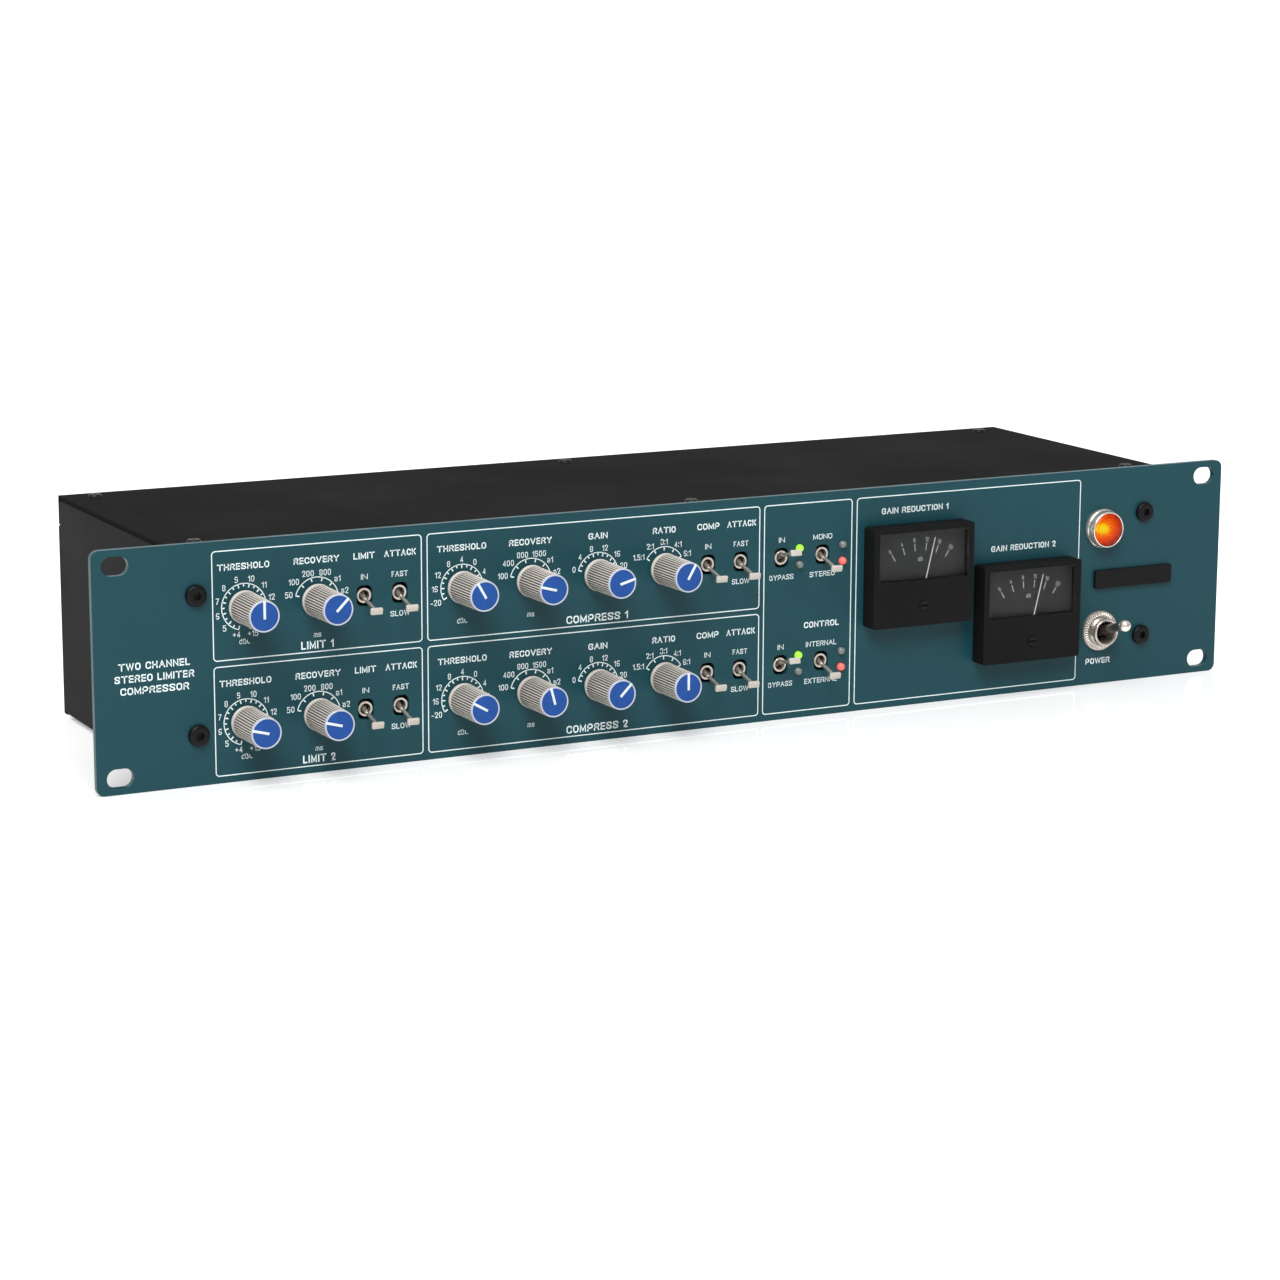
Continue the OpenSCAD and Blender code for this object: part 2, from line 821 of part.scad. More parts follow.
// Output sockets: a deep round cavity with three pins
module output_sockets() {
    face = case_d + socket_flange_t;
    back = case_d - 18;
    cavity_back = face - 15;
    color("#3a3b3e")
    for (x = output_x)
        at([x, rear_z]) {
            difference() {
                union() {
                    between(case_d, face) rounded_rect(socket_w, socket_h, 2);
                    rod(back, case_d, socket_r);
                }
                rod(cavity_back, face + cut, socket_cavity_r);
                for (s = [-1, 1])
                    at(s * [socket_screw_offset[0], -socket_screw_offset[1]])
                    rod(case_d - cut, face + cut, case_screw_r);
            }
            for (p = contact_places)
                at(p) rod(cavity_back, face - 2, 1.2);
        }
}

// Jack sockets for the linked control signal
module control_jacks() {
    front = case_d + 4.5;
    body_front = rear_y;
    body_back = case_d - 26;
    color("#2c2d30")
    for (x = jack_x)
        at([x, rear_z])
        difference() {
            union() {
                between(body_back, body_front) square([16, 22], center = true);
                rod(body_front, front, jack_r);
                between(case_d, case_d + 2.4) circle(r = 8, $fn = 6);
            }
            rod(front - 23, front + cut, jack_bore_d / 2);
        }
}

// Mains inlet with three blades and a slot for the fuse drawer
module mains_inlet() {
    face = case_d + 2.5;
    back = case_d - 28;
    cavity = [24.4, 16.4];
    cavity_rise = 4.5;
    cavity_back = face - 18;
    blade = [2, 4];
    color("#1c1d1f")
    at(inlet_place) {
        difference() {
            union() {
                between(case_d, face) rounded_rect(48, 31, 3);
                between(back, case_d) square(inlet_w, center = true);
            }
            at([0, cavity_rise]) between(cavity_back, face + cut) square(cavity, center = true);
            at([0, -drawer_drop])
                between(face - 24.5, face + cut)
                square([drawer_w + 2 * drawer_gap, drawer_h + 2 * drawer_gap], center = true);
            for (s = [-1, 1])
                at([s * 20, 0]) rod(case_d - cut, face + cut, case_screw_r);
        }
        for (p = [[-7, cavity_rise - 2], [0, cavity_rise + 2], [7, cavity_rise - 2]])
            at(p) between(cavity_back, face - 5) square(blade, center = true);
    }
}

// Drawer that holds the fuse and slides out of the inlet
module fuse_drawer() {
    face = case_d + 2.5;
    trough_l = 20.4;
    trough_front = face - 2;
    fuse_r = 2.6;
    at([inlet_place[0], inlet_place[1] - drawer_drop]) {
        color("#1c1d1f") {
            difference() {
                between(face - 24, face + 0.5) square([drawer_w, drawer_h], center = true);
                rod(trough_front - trough_l, trough_front, fuse_r + 0.1);
                at([0, drawer_h / 4 + 0.1])
                    between(trough_front - trough_l, trough_front)
                    square([2 * fuse_r + 0.2, drawer_h / 2 + 0.2], center = true);
            }
            at([0, 1.5]) between(face + 0.5, face + 2) square([10, 1.4], center = true);
        }
        color("#d9dcde") rod(trough_front - trough_l + 0.2, trough_front - 0.2, fuse_r);
    }
}

front_panel();
chassis_tray();
rear_panel();
top_cover();
panel_screws();
case_screws();
for (k = KNOBS)
    knob([k[1], row_z[k[2]]], k[3]);
control_pots();
for (t = TOGGLES)
    toggle_lever([t[1], row_z[t[2]]], t[3]);
toggle_switch_bodies();
power_lever();
power_switch_body();
power_switch_nut();
indicator_leds();
lamp_bezel();
lamp_jewel();
name_badge();
meter_cases();
meter_windows();
meter_dials();
meter_movements();
for (m = METERS)
    needle(m[1]);
for (m = METERS)
    zero_screw(m[1]);
control_board();
main_board();
board_standoffs();
audio_transformers();
filter_capacitors();
mains_transformer();
input_sockets();
input_latch(input_x[0]);  // input_1_latch
input_latch(input_x[1]);  // input_2_latch
output_sockets();
control_jacks();
mains_inlet();
fuse_drawer();
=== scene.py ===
import json
import math

import bmesh
import bpy
from mathutils import Matrix, Vector


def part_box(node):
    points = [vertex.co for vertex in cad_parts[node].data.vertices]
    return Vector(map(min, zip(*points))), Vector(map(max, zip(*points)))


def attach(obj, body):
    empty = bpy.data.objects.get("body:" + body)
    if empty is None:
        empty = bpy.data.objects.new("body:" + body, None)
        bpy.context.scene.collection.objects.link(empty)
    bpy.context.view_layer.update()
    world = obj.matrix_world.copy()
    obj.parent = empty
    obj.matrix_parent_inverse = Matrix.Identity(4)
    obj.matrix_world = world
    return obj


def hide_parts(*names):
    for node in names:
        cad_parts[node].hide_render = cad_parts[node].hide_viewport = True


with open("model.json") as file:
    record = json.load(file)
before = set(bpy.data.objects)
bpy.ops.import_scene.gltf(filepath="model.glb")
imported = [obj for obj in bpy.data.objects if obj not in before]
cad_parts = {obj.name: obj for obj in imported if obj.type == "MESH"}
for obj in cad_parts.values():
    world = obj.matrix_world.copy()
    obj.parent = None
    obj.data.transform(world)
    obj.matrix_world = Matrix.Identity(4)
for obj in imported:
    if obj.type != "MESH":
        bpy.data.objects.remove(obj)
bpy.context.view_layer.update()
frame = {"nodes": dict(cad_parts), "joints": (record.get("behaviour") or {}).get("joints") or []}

# Looks of a two-unit rack compressor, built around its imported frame.
# X is to the right seen from the front, Y into the case, Z up, all in metres.

MM = 0.001
NODES = frame["nodes"]
JOINTS = {joint["name"]: joint for joint in frame["joints"]}

PANEL_LOW, PANEL_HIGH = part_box("front_panel")
PANEL_CENTRE = (PANEL_LOW + PANEL_HIGH) / 2
FACE_Y = PANEL_LOW.y
REAR_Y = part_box("rear_panel")[1].y
ROOT = "case"


def joint_place(name):
    """Where a joint's axis passes, in the row frame."""
    return Vector(JOINTS[name]["pos_m"])


def node_centre(node):
    low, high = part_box(node)
    return (low + high) / 2


KNOBS = [name[:-5] for name in JOINTS if name.endswith("_turn") and "zero" not in name]
TOGGLES = [name[:-5] for name in JOINTS if name.endswith("_flip") and name != "power_flip"]
UPPER_ROW = joint_place("limit_1_threshold_turn").z
LOWER_ROW = joint_place("limit_2_threshold_turn").z
ROWS = {1: UPPER_ROW, 2: LOWER_ROW}


# ---------------------------------------------------------------- materials


def srgb(red, green, blue):
    """Linear colour of an 8-bit sRGB one."""

    def channel(value):
        value /= 255
        return value / 12.92 if value <= 0.04045 else ((value + 0.055) / 1.055) ** 2.4

    return tuple(channel(v) for v in (red, green, blue))


def scaled(colour, factor):
    return tuple(min(1.0, c * factor) for c in colour) + (1.0,)


class Shader:
    """One node material around a Principled surface, with textures in the object's own metres."""

    def __init__(self, name, roughness, **sockets):
        self.material = bpy.data.materials.new(name)
        self.material.use_nodes = True
        self.tree = self.material.node_tree
        self.surface = self.tree.nodes["Principled BSDF"]
        self.surface.inputs["Roughness"].default_value = roughness
        for socket, value in sockets.items():
            self.surface.inputs[socket.replace("_", " ")].default_value = value
        self.coordinates = self.tree.nodes.new("ShaderNodeTexCoord").outputs["Object"]

    def noise(self, scale, detail=3.0, stretch=(1, 1, 1)):
        """Noise whose grain is about 1 / scale metres, drawn out along an axis by stretch."""
        mapping = self.tree.nodes.new("ShaderNodeMapping")
        mapping.inputs["Scale"].default_value = stretch
        texture = self.tree.nodes.new("ShaderNodeTexNoise")
        texture.inputs["Scale"].default_value = scale
        texture.inputs["Detail"].default_value = detail
        self.tree.links.new(self.coordinates, mapping.inputs["Vector"])
        self.tree.links.new(mapping.outputs["Vector"], texture.inputs["Vector"])
        return texture.outputs["Fac"]

    def spread(self, value, low, high):
        """Stretches the middle of a noise over the range low to high."""
        node = self.tree.nodes.new("ShaderNodeMapRange")
        node.inputs["From Min"].default_value = 0.3
        node.inputs["From Max"].default_value = 0.7
        node.inputs["To Min"].default_value = low
        node.inputs["To Max"].default_value = high
        self.tree.links.new(value, node.inputs["Value"])
        return node.outputs["Result"]

    def colour(self, factor, first, second):
        node = self.tree.nodes.new("ShaderNodeMix")
        node.data_type = "RGBA"
        node.inputs["A"].default_value = first
        node.inputs["B"].default_value = second
        colours = [s for s in node.inputs if s.type == "RGBA"]
        colours[0].default_value = first
        colours[1].default_value = second
        self.tree.links.new(factor, node.inputs["Factor"])
        result = [s for s in node.outputs if s.type == "RGBA"][0]
        self.tree.links.new(result, self.surface.inputs["Base Color"])

    def roughness(self, value):
        self.tree.links.new(value, self.surface.inputs["Roughness"])

    def relief(self, height, depth, edge=0.0):
        """Fine relief, depth in metres, over edges that look rounded by edge metres."""
        node = self.tree.nodes.new("ShaderNodeBump")
        node.inputs["Distance"].default_value = depth
        if edge:
            rounding = self.tree.nodes.new("ShaderNodeBevel")
            rounding.samples = 4
            rounding.inputs["Radius"].default_value = edge
            self.tree.links.new(rounding.outputs["Normal"], node.inputs["Normal"])
        self.tree.links.new(height, node.inputs["Height"])
        self.tree.links.new(node.outputs["Normal"], self.surface.inputs["Normal"])


def finish(
    name, colour, roughness, tint=0.1, patch=30, grain=1500, depth=0.01, play=0.06, edge=0.0,
    stretch=(1, 1, 1), **sockets
):
    """A moulded, painted or plated finish whose colour and gloss drift in patches. Depth and edge are in mm."""
    shader = Shader(name, roughness, **sockets)
    patches = shader.spread(shader.noise(patch, stretch=stretch), 0.0, 1.0)
    shader.colour(patches, scaled(colour, 1 - tint), scaled(colour, 1 + tint))
    gloss = shader.noise(patch * 3.1, detail=5.0, stretch=stretch)
    shader.roughness(shader.spread(gloss, roughness - play, roughness + play))
    shader.relief(shader.noise(grain, detail=4.0, stretch=stretch), depth * MM, edge * MM)
    return shader.material


PAINT = {
    "panel": finish(
        "panel_enamel", srgb(20, 62, 70), 0.38, tint=0.05, patch=9, grain=900, depth=0.006, edge=0.35,
        Specular_IOR_Level=0.22,
    ),
    "case": finish(
        "case_powder_coat", srgb(36, 36, 37), 0.62, tint=0.08, patch=7, grain=2400, depth=0.02, edge=0.3,
        Specular_IOR_Level=0.02,
    ),
    "cover": finish(
        "cover_powder_coat", srgb(22, 22, 23), 0.6, tint=0.08, patch=6, grain=2400, depth=0.02, edge=0.4,
        Specular_IOR_Level=0.005,
    ),
    "print": finish(
        "white_print", srgb(216, 228, 228), 0.55, tint=0.04, patch=300, grain=5000, depth=0.003,
        Specular_IOR_Level=0.2,
    ),
    "rear_print": finish("rear_print", srgb(190, 192, 192), 0.6, tint=0.05, patch=300, grain=5000, depth=0.003),
    "dial_print": finish("dial_print", srgb(170, 170, 168), 0.6, tint=0.06, patch=300, grain=5000, depth=0.003),
    "grip": finish(
        "grip_plastic", srgb(186, 181, 174), 0.45, tint=0.06, patch=180, grain=4200, depth=0.012,
        Specular_IOR_Level=0.35,
    ),
    # Darker copy of the grip plastic for the groove floors: painted shade in the grooves.
    "painted_groove_shade": finish(
        "grip_plastic_painted_groove_shade", srgb(104, 98, 92), 0.6, tint=0.1, patch=180, grain=4200, depth=0.012,
        Specular_IOR_Level=0.2,
    ),
    "rim": finish("rim_plastic", srgb(172, 176, 190), 0.4, tint=0.05, patch=260, grain=4200, depth=0.006),
    "cap": finish(
        "cap_plastic", srgb(20, 67, 136), 0.36, tint=0.08, patch=160, grain=3800, depth=0.008,
        Specular_IOR_Level=0.25,
    ),
    "pointer": finish("pointer_inlay", srgb(202, 210, 212), 0.45, tint=0.03, patch=500, grain=5000, depth=0.004),
    "tip": finish("lever_tip_plastic", srgb(180, 173, 164), 0.42, tint=0.06, patch=260, grain=3600, depth=0.008),
    "nickel": finish(
        "nickel_plate", srgb(198, 190, 181), 0.24, tint=0.06, patch=220, grain=2400, depth=0.004, play=0.08,
        Metallic=0.8,
    ),
    "chrome": finish(
        "chrome_plate", srgb(232, 222, 212), 0.16, tint=0.04, patch=120, grain=1400, depth=0.003, play=0.05,
        Metallic=0.82,
    ),
    # Darker copy of the chrome for the power lever's neck: painted dark reflection.
    "painted_reflection_chrome": finish(
        "shaded_chrome_plate", srgb(128, 122, 116), 0.2, tint=0.1, patch=120, grain=1400, depth=0.003, play=0.05,
        Metallic=0.9,
    ),
    "zinc": finish(
        "zinc_plate", srgb(168, 170, 172), 0.34, tint=0.12, patch=160, grain=1500, depth=0.006, Metallic=1.0
    ),
    "black_steel": finish(
        "blackened_steel", srgb(13, 12, 13), 0.42, tint=0.18, patch=240, grain=2600, depth=0.012,
        Metallic=0.1, Specular_IOR_Level=0.2,
    ),
    "meter": finish(
        "meter_moulding", srgb(19, 19, 19), 0.5, tint=0.1, patch=60, grain=3000, depth=0.01, edge=0.5,
        Specular_IOR_Level=0.08,
    ),
    # Near-black line along the meter windows' left and top edges: painted shadow of the gap between window and
    # case.
    "painted_shadow_gap": finish("window_gasket", srgb(9, 9, 9), 0.6, tint=0.1, patch=200, grain=3000, depth=0.004),
    "dial": finish("dial_plate", srgb(23, 23, 23), 0.6, tint=0.06, patch=90, grain=3600, depth=0.008),
    "needle": finish("needle_paint", srgb(214, 212, 204), 0.5, tint=0.04, patch=600, grain=5000, depth=0.004),
    "badge": finish(
        "badge_gloss", srgb(17, 17, 18), 0.3, tint=0.06, patch=70, grain=1800, depth=0.002, edge=0.4,
        Specular_IOR_Level=0.12,
    ),
    "black_plastic": finish(
        "black_moulding", srgb(30, 30, 31), 0.46, tint=0.12, patch=90, grain=3200, depth=0.015, edge=0.4
    ),
    "socket": finish(
        "socket_black_nickel", srgb(58, 58, 60), 0.32, tint=0.14, patch=120, grain=2200, depth=0.01, edge=0.3,
        Metallic=0.7,
    ),
    "board": finish("solder_mask", srgb(24, 74, 42), 0.36, tint=0.2, patch=260, grain=1400, depth=0.02),
    "brass": finish(
        "brass_turned", srgb(190, 156, 84), 0.3, tint=0.1, patch=200, grain=1600, depth=0.006, Metallic=1.0
    ),
    "laminations": finish(
        "iron_laminations", srgb(120, 104, 84), 0.5, tint=0.25, patch=90, grain=900, depth=0.08, edge=0.5,
        stretch=(1, 9, 1), Metallic=0.5,
    ),
    "sleeve": finish(
        "capacitor_sleeve", srgb(30, 48, 92), 0.3, tint=0.1, patch=120, grain=1600, depth=0.01, edge=0.8
    ),
    "tape": finish(
        "winding_tape", srgb(196, 160, 60), 0.38, tint=0.16, patch=70, grain=420, depth=0.12, edge=1.0,
        stretch=(1, 1, 5),
    ),
    "led_off": finish(
        "led_lens_unlit", srgb(112, 111, 110), 0.25, tint=0.06, patch=500, grain=2600, depth=0.006,
        Subsurface_Weight=0.3,
    ),
}


def glowing(name, colour, light, strength, roughness=0.25, **sockets):
    """A lens that is lit from inside, a little unevenly."""
    shader = Shader(name, roughness, Emission_Strength=strength, **sockets)
    patches = shader.spread(shader.noise(420, detail=2.0), 0.0, 1.0)
    shader.colour(patches, scaled(colour, 0.8), scaled(colour, 1.0))
    shader.surface.inputs["Emission Color"].default_value = scaled(light, 1.0)
    shader.relief(shader.noise(1500), 0.004 * MM)
    return shader.material


PAINT["led_green"] = glowing("led_lens_green", srgb(140, 215, 60), srgb(142, 228, 20), 0.72)
PAINT["led_red"] = glowing("led_lens_red", srgb(235, 110, 100), srgb(245, 50, 40), 0.55)
JEWEL_SPOT = Vector((-3.6, 0, 0.9)) * MM
JEWEL_TONES = {
    0.0: (255, 224, 40), 1.0: (104, 20, 8), 0.19: (255, 200, 10), 0.3: (246, 128, 14), 0.48: (238, 84, 10),
    0.74: (190, 46, 8),
}
JEWEL_REACH = 10.8 * MM
RINGS_SCALE = 240.0


def amber_jewel(name):
    """A domed lens with the lamp behind it seen as a bright spot off the middle, and with moulded rings."""
    shader = Shader(name, 0.08, Specular_IOR_Level=0.07)
    shader.surface.inputs["Base Color"].default_value = scaled(srgb(52, 6, 1), 1.0)
    tree = shader.tree
    place = tree.nodes.new("ShaderNodeMapping")
    place.inputs["Location"].default_value = (-JEWEL_SPOT.x, 0, -JEWEL_SPOT.z * 1.25)
    place.inputs["Scale"].default_value = (1, 0, 1.25)
    tree.links.new(shader.coordinates, place.inputs["Vector"])
    length = tree.nodes.new("ShaderNodeVectorMath")
    length.operation = "LENGTH"
    tree.links.new(place.outputs["Vector"], length.inputs[0])
    share = tree.nodes.new("ShaderNodeMapRange")
    share.inputs["From Max"].default_value = JEWEL_REACH
    tree.links.new(length.outputs["Value"], share.inputs["Value"])
    uneven = tree.nodes.new("ShaderNodeMath")
    uneven.operation = "ADD"
    tree.links.new(share.outputs["Result"], uneven.inputs[0])
    tree.links.new(shader.spread(shader.noise(700, detail=1.0), -0.05, 0.05), uneven.inputs[1])
    ramp = tree.nodes.new("ShaderNodeValToRGB")
    stops = ramp.color_ramp.elements
    for share_at, tone in JEWEL_TONES.items():
        stop = stops[int(share_at)] if share_at in (0.0, 1.0) else stops.new(share_at)
        stop.color = scaled(srgb(*tone), 1.0)
    tree.links.new(uneven.outputs["Value"], ramp.inputs["Fac"])
    rings = tree.nodes.new("ShaderNodeTexWave")
    rings.wave_type = "RINGS"
    rings.rings_direction = "Y"
    rings.inputs["Scale"].default_value = RINGS_SCALE
    rings.inputs["Distortion"].default_value = 2.6
    tree.links.new(shader.coordinates, rings.inputs["Vector"])
    dim = tree.nodes.new("ShaderNodeMapRange")
    dim.inputs["To Min"].default_value = 0.78
    dim.inputs["To Max"].default_value = 1.0
    tree.links.new(rings.outputs["Fac"], dim.inputs["Value"])
    tree.links.new(ramp.outputs["Color"], shader.surface.inputs["Emission Color"])
    tree.links.new(dim.outputs["Result"], shader.surface.inputs["Emission Strength"])
    shader.relief(rings.outputs["Fac"], 0.05 * MM)
    return shader.material


PAINT["jewel"] = amber_jewel("amber_jewel")


def glass(name):
    """Clear window plastic with faint drifts in its gloss."""
    shader = Shader(name, 0.03, Transmission_Weight=0.997, IOR=1.08, Specular_IOR_Level=0.08)
    patches = shader.spread(shader.noise(60), 0.0, 1.0)
    shader.colour(patches, (0.9, 0.92, 0.93, 1.0), (1.0, 1.0, 1.0, 1.0))
    shader.roughness(shader.spread(shader.noise(140, detail=5.0), 0.02, 0.05))
    return shader.material


PAINT["window"] = glass("meter_window_clear")


# ---------------------------------------------------------------- mesh helpers


def new_mesh(name, bm, crease=35):
    """Turns a bmesh into a mesh, smooth up to the crease angle in degrees."""
    bmesh.ops.recalc_face_normals(bm, faces=bm.faces)
    mesh = bpy.data.meshes.new(name)
    bm.to_mesh(mesh)
    bm.free()
    mesh.polygons.foreach_set("use_smooth", [True] * len(mesh.polygons))
    mesh.set_sharp_from_angle(angle=math.radians(crease))
    return mesh


def place_piece(name, mesh, paint, body=ROOT, matrix=None, replaces=()):
    """Adds a piece in place, gives it its material and slot, and puts it on its body."""
    obj = bpy.data.objects.new(name, mesh)
    bpy.context.scene.collection.objects.link(obj)
    if not mesh.materials:
        mesh.materials.append(PAINT[paint])
    obj.matrix_world = matrix or Matrix.Identity(4)
    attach(obj, body)
    if replaces:
        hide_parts(*replaces)
    return obj


def rounded(profile, radius, steps=3):
    """Rounds the corners of an open profile of (height, radius) pairs."""
    points = [Vector(p) for p in profile]
    result = [points[0]]
    for before, corner, after in zip(points, points[1:], points[2:]):
        back, ahead = before - corner, after - corner
        cut = min(radius, back.length * 0.45, ahead.length * 0.45)
        start, end = corner + back.normalized() * cut, corner + ahead.normalized() * cut
        for i in range(steps + 1):
            t = i / steps
            result.append(start * (1 - t) ** 2 + corner * 2 * t * (1 - t) + end * t**2)
    result.append(points[-1])
    return [tuple(p) for p in result]


def revolve(name, profile, segments=48, crease=35, closed=False):
    """Turns a profile about the -Y axis. Heights and radii are in mm, and either may be a function of the angle."""
    bm = bmesh.new()
    rings = []
    for height, radius in profile:
        if radius == 0:
            rings.append([bm.verts.new((0, -height * MM, 0))])
            continue
        ring = []
        for i in range(segments):
            angle = math.tau * i / segments
            h = height(angle) if callable(height) else height
            r = radius(angle) if callable(radius) else radius
            ring.append(bm.verts.new((r * MM * math.cos(angle), -h * MM, r * MM * math.sin(angle))))
        rings.append(ring)
    pairs = list(zip(rings, rings[1:]))
    if closed:
        pairs.append((rings[-1], rings[0]))
    for first, second in pairs:
        for i in range(segments):
            j = (i + 1) % segments
            corners = []
            for ring, k in ((first, i), (first, j), (second, j), (second, i)):
                vert = ring[k] if len(ring) > 1 else ring[0]
                if vert not in corners:
                    corners.append(vert)
            bm.faces.new(corners)
    return new_mesh(name, bm, crease)


def block(name, size, centre, bevel, segments=3, crease=50):
    """A block of size mm with rounded edges, about a centre in mm."""
    bm = bmesh.new()
    bmesh.ops.create_cube(bm, size=1.0)
    bmesh.ops.scale(bm, vec=Vector(size) * MM, verts=bm.verts)
    bmesh.ops.bevel(
        bm, geom=bm.edges[:], offset=bevel * MM, segments=segments, profile=0.5, affect="EDGES"
    )
    bmesh.ops.translate(bm, vec=Vector(centre) * MM, verts=bm.verts)
    return new_mesh(name, bm, crease)


def dress(node, paint):
    """Gives a CAD node its material."""
    mesh = NODES[node].data
    mesh.materials.clear()
    mesh.materials.append(PAINT[paint])


# ---------------------------------------------------------------- printing

PRINT_T = 0.04
CAP_UNITS = 8
SPACE_UNITS = 1.5
STROKE = 0.175
LETTER_GAP = 0.17
# Strokes of each sign: pairs of digits are x and y on a grid whose capitals are 8 high.
# ~ starts a stroke with round corners, and o one that closes on itself.
SIGNS = {
    "A": "00 38 60/13 53", "B": "00 08/~08 48 44 04/~04 54 50 00", "C": "~56 58 08 00 50 52",
    "D": "00 08/~08 58 50 00", "E": "48 08 00 40/04 44", "F": "48 08 00/04 34",
    "G": "~56 58 08 00 50 54/54 34", "H": "00 08/50 58/04 54", "I": "00 08", "K": "00 08/03 58/25 50",
    "L": "08 00 40", "M": "00 08 31 68 60", "N": "00 08 50 58", "O": "o00 08 58 50", "P": "00 08/~08 58 53 03",
    "R": "00 08/~08 58 54 04/34 50", "S": "~56 58 08 05 53 50 00 02", "T": "08 68/38 30",
    "U": "~08 00 50 58", "V": "08 30 68", "W": "08 20 48 60 88", "X": "08 50/00 58", "Y": "08 34 68/34 30",
    "0": "o00 08 48 40", "1": "06 28 20", "2": "~06 08 48 45 00/00 40", "3": "~06 08 48 44 24/~24 44 40 00 02",
    "4": "42 02 38 30", "5": "48 08 04/~05 45 40 00 01", "6": "o00 04 44 40/~02 08 48 47", "7": "08 48 10",
    "8": "o04 08 48 44/o00 04 44 40", "9": "o04 08 48 44/~46 40 00 01", "+": "04 44/22 26", "-": "03 33",
    ":": "00 01/05 06", ".": "00 01", "a": "~05 06 46 40/~43 03 00 40", "d": "48 40/o00 06 46 40",
    "u": "~06 00 40 46/46 40", "m": "00 06/~04 06 36 30/~34 36 66 60", "s": "~45 46 06 03 43 40 00 01",
}
ROUNDING = 3.0


def bend(points, closed):
    """Rounds the corners of a stroke."""
    count = len(points)
    result = [] if closed else [points[0]]
    for i in range(count) if closed else range(1, count - 1):
        corner = points[i]
        back, ahead = points[i - 1] - corner, points[(i + 1) % count] - corner
        start = corner + back.normalized() * min(ROUNDING, back.length / 2)
        end = corner + ahead.normalized() * min(ROUNDING, ahead.length / 2)
        for step in range(6):
            t = step / 5
            result.append(start * (1 - t) ** 2 + corner * 2 * t * (1 - t) + end * t**2)
    if not closed:
        result.append(points[-1])
    kept = [p for p, q in zip(result, result[1:]) if (p - q).length > 1e-4]
    return kept + [result[-1]]


def sign_strokes(sign):
    """[(points, whether they close)] of one sign, on its grid."""
    strokes = []
    for stroke in SIGNS[sign].split("/"):
        closed, round_corners = stroke[0] == "o", stroke[0] in "o~"
        points = [Vector((int(p[0]), int(p[1]))) for p in stroke.lstrip("o~").split()]
        strokes.append((bend(points, closed) if round_corners else points, closed))
    return strokes


def sign_width(sign):
    return max(p.x for points, _ in sign_strokes(sign) for p in points)


def text_width(words, cap, weight=STROKE):
    """Overall width that words take at their natural proportions, in mm."""
    grid = cap * (1 - weight) / CAP_UNITS
    widths = sum(SPACE_UNITS if w == " " else sign_width(w) for w in words)
    return widths * grid + cap * weight + (len(words) - 1) * cap * (weight + LETTER_GAP)


